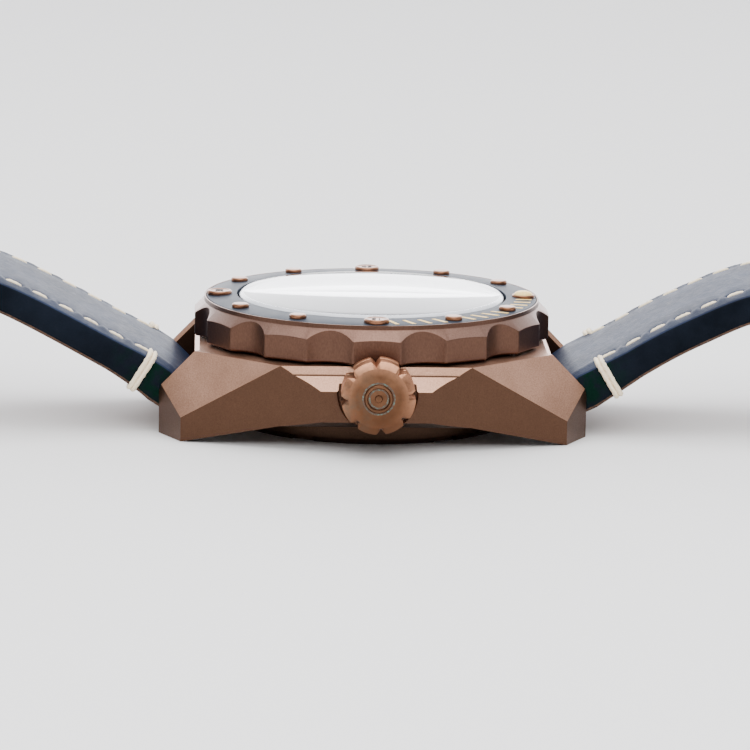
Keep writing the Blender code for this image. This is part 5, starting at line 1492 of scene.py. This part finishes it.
# ---------------------------------------------------------------- buckle and bars
def bevelled_mesh(name, bm, width):
    """Round every sharp edge of a closed shape."""
    bmesh.ops.recalc_face_normals(bm, faces=bm.faces)
    sharp = [e for e in bm.edges if len(e.link_faces) == 2 and e.calc_face_angle() > math.radians(35)]
    bevel(bm, sharp, width, 3)
    return to_mesh(name, bm)


def build_buckle():
    """Pin buckle: an open frame, its bar through the strap, and the tongue."""
    arm_in = 10.35
    arm_out = BUCKLE_HIGH.x
    front = BUCKLE_HIGH.y
    window_front = front - 3.8
    corner = 2.5
    bar_hole_r = 0.7
    right = [(arm_in, BUCKLE_LOW.y), (arm_out, BUCKLE_LOW.y)]
    for x, y in (polar(corner, 9 * i) for i in range(11)):
        right.append((arm_out - corner + x, front - corner + y))
    left = [(-x, y) for x, y in reversed(right)]
    inner = eased([(-arm_in, BUCKLE_LOW.y), (-arm_in, window_front), (arm_in, window_front),
                   (arm_in, BUCKLE_LOW.y)], 1.0, 5, closed=False)[1:-1]
    hoop = bevelled_mesh("buckle", prism(right + left + inner, BUCKLE_LOW.z, BUCKLE_HIGH.z), 0.3)
    hoop = carve(hoop, [bore(bar_hole_r, BUCKLE_BAR_Y, BUCKLE_BAR_Z)])
    make_piece("buckle_hoop", hoop, "buckle", BRONZE, ["buckle_frame"], sharp=35)

    hub_r = 1.25
    reach = front - BUCKLE_BAR_Y
    half_width = 1.2
    profile = [polar(hub_r, 100 + 11 * i) for i in range(21)]
    profile += eased([polar(hub_r, 320), (3.0, 0.55), (reach - 4.0, 1.15), (reach + 0.3, 1.15),
                      (reach + 0.3, 1.6), (reach - 0.8, 2.0), polar(hub_r, 100)], 0.4, 3, closed=False)[1:-1]
    tongue = bevelled_mesh("tongue", prism(profile, -half_width, half_width), 0.2)
    upright = Matrix(((0, 0, 1, 0), (1, 0, 0, BUCKLE_BAR_Y * MM), (0, 1, 0, BUCKLE_BAR_Z * MM), (0, 0, 0, 1)))
    tongue.transform(upright)
    tongue = carve(tongue, [bore(bar_hole_r, BUCKLE_BAR_Y, BUCKLE_BAR_Z)])
    make_piece("buckle_pin", tongue, "tongue", BRONZE, ["buckle_tongue"], sharp=35)
    low, high = corners("buckle_bar")
    bar_r = (high.z - low.z) / 2
    bar = revolve([(0.0, low.x), (bar_r, low.x), (bar_r, high.x), (0.0, high.x)], 32, ease=0.2, steps=3)
    bar = placed(bar, along_x(BUCKLE_BAR_Y, BUCKLE_BAR_Z))
    make_piece("buckle_pivot", bar, "strap_12", STEEL, ["buckle_bar"])


def build_spring_bars():
    """Sprung tubes with a shouldered pin at each end, one through each strap end."""
    end = BAR_HIGH.x
    shoulder = LUG_INNER_X - 0.25
    groove_r = BAR_R - 0.15
    pin_r = 0.4
    half = [(BAR_R, 0.0), (BAR_R, shoulder - 1.1), (groove_r, shoulder - 1.0), (groove_r, shoulder - 0.7),
            (BAR_R, shoulder - 0.6), (BAR_R, shoulder - 0.05), (BAR_R - 0.05, shoulder), (pin_r, shoulder),
            (pin_r, end - 0.1), (pin_r - 0.1, end), (0.0, end)]
    profile = [(r, -z) for r, z in reversed(half)] + half[1:]
    for side, name in ((1, "spring_bar_12"), (-1, "spring_bar_6")):
        bar = placed(revolve(profile, 32), along_x(side * BAR_Y, BAR_Z))
        make_piece(name + "_tube", bar, "case", STEEL, [name])


# ---------------------------------------------------------------- the rest of the frame
def paint_frame():
    """Every CAD node that stays gets a finish of its own."""
    finishes = {
        "steel": STEEL, "nickel": NICKEL, "brass": BRASS, "rubber": RUBBER, "bronze": BRONZE,
        "ceramic": CERAMIC, "lume": PIP_LUME, "dial": CHAPTER, "glass": SAPPHIRE, "leather": STRAP_EDGE,
    }
    slots = {part["node"]: part["material_slot"] for part in frame["record"]["subparts"]}
    for name, node in frame["nodes"].items():
        node.data.materials.clear()
        node.data.materials.append(finishes[slots[name]])


# ---------------------------------------------------------------- camera, light and floor
def build_camera():
    """The view along the watch from the crown's side, a little above the table."""
    azimuth, elevation, roll = (math.radians(a) for a in CAMERA_ANGLES)
    back = Vector((math.sin(azimuth) * math.cos(elevation), -math.cos(azimuth) * math.cos(elevation),
                   math.sin(elevation)))
    level = (-back).cross(Vector((0, 0, 1))).normalized()
    raised = level.cross(-back)
    right = level * math.cos(roll) + raised * math.sin(roll)
    up = raised * math.cos(roll) - level * math.sin(roll)
    data = bpy.data.cameras.new("camera")
    data.lens = CAMERA_LENS
    data.sensor_width = 36.0
    data.clip_start = 0.01
    data.clip_end = 20.0
    camera = add_object("camera", data)
    turn = Matrix((right, up, back)).transposed().to_4x4()
    camera.matrix_world = moved(*((Vector(CAMERA_TARGET) + back * CAMERA_DISTANCE) * MM)) @ turn
    bpy.context.scene.camera = camera


def area_light(name, place, size, power):
    """A soft box, placed and sized in metres, that shines at the watch."""
    data = bpy.data.lights.new(name, "AREA")
    data.shape = "RECTANGLE"
    data.size, data.size_y = size
    data.energy = power
    towards = (Vector() - Vector(place)).to_track_quat("-Z", "Y").to_matrix().to_4x4()
    add_object(name, data).matrix_world = moved(*place) @ towards


def build_light():
    """A white wall low behind the watch that the glossy tops mirror, a dimmer room elsewhere, a soft box
    overhead and one in front; the camera itself sees a plain pale backdrop."""
    world = bpy.data.worlds.new("studio")
    bpy.context.scene.world = world
    world.use_nodes = True
    nodes = Nodes(world.node_tree)
    direction = nodes.node("TexCoord").outputs["Generated"]
    towards_x = nodes.part(direction, "X")
    height = nodes.part(direction, "Z")
    smooth = {"interpolation_type": "SMOOTHSTEP"}
    room = nodes.spread(towards_x, -0.5, 0.6, SKY_BEHIND, SKY_FRONT, **smooth)
    behind = nodes.spread(towards_x, -0.75, -0.9, 0.0, 1.0, **smooth)
    low_down = nodes.spread(height, 0.6, 0.4, 0.0, WALL_EXTRA, **smooth)
    reflected = nodes.maths("ADD", room, nodes.maths("MULTIPLY", behind, low_down))
    camera_ray = nodes.node("LightPath").outputs["Is Camera Ray"]
    seen = nodes.node("Mix", [("Factor", camera_ray), ("A", reflected), ("B", SKY_SEEN)])
    background = world.node_tree.nodes["Background"]
    nodes.join(seen.outputs["Result"], background.inputs["Strength"])
    background.inputs["Color"].default_value = SKY_COLOUR
    area_light("overhead", (0.0, 0.0, 0.65), (0.8, 0.6), TOP_POWER)
    area_light("front", (0.55, 0.0, 0.45), (0.9, 0.3), FRONT_POWER)


def build_floor():
    bm = bmesh.new()
    bmesh.ops.create_grid(bm, x_segments=8, y_segments=8, size=3.0)
    mesh = stored(bm, bpy.data.meshes.new("floor"))
    mesh.materials.append(FLOOR_PAINT)
    add_object("floor", mesh)


# ---------------------------------------------------------------- assembly
paint_frame()
build_case()
build_back()
build_bezel()
build_insert()
for hour_mark in range(1, 12):
    build_stud(hour_mark)
build_pip()
build_crystal()
build_dial()
build_markers()
build_hands()
build_crown()
build_spring_bars()
build_strap_12()
build_strap_6()
build_keeper("fixed_loop", "fixed_keeper", "strap_12")
build_keeper("sliding_loop", "sliding_keeper", "keeper")
build_buckle()
build_camera()
build_light()
build_floor()
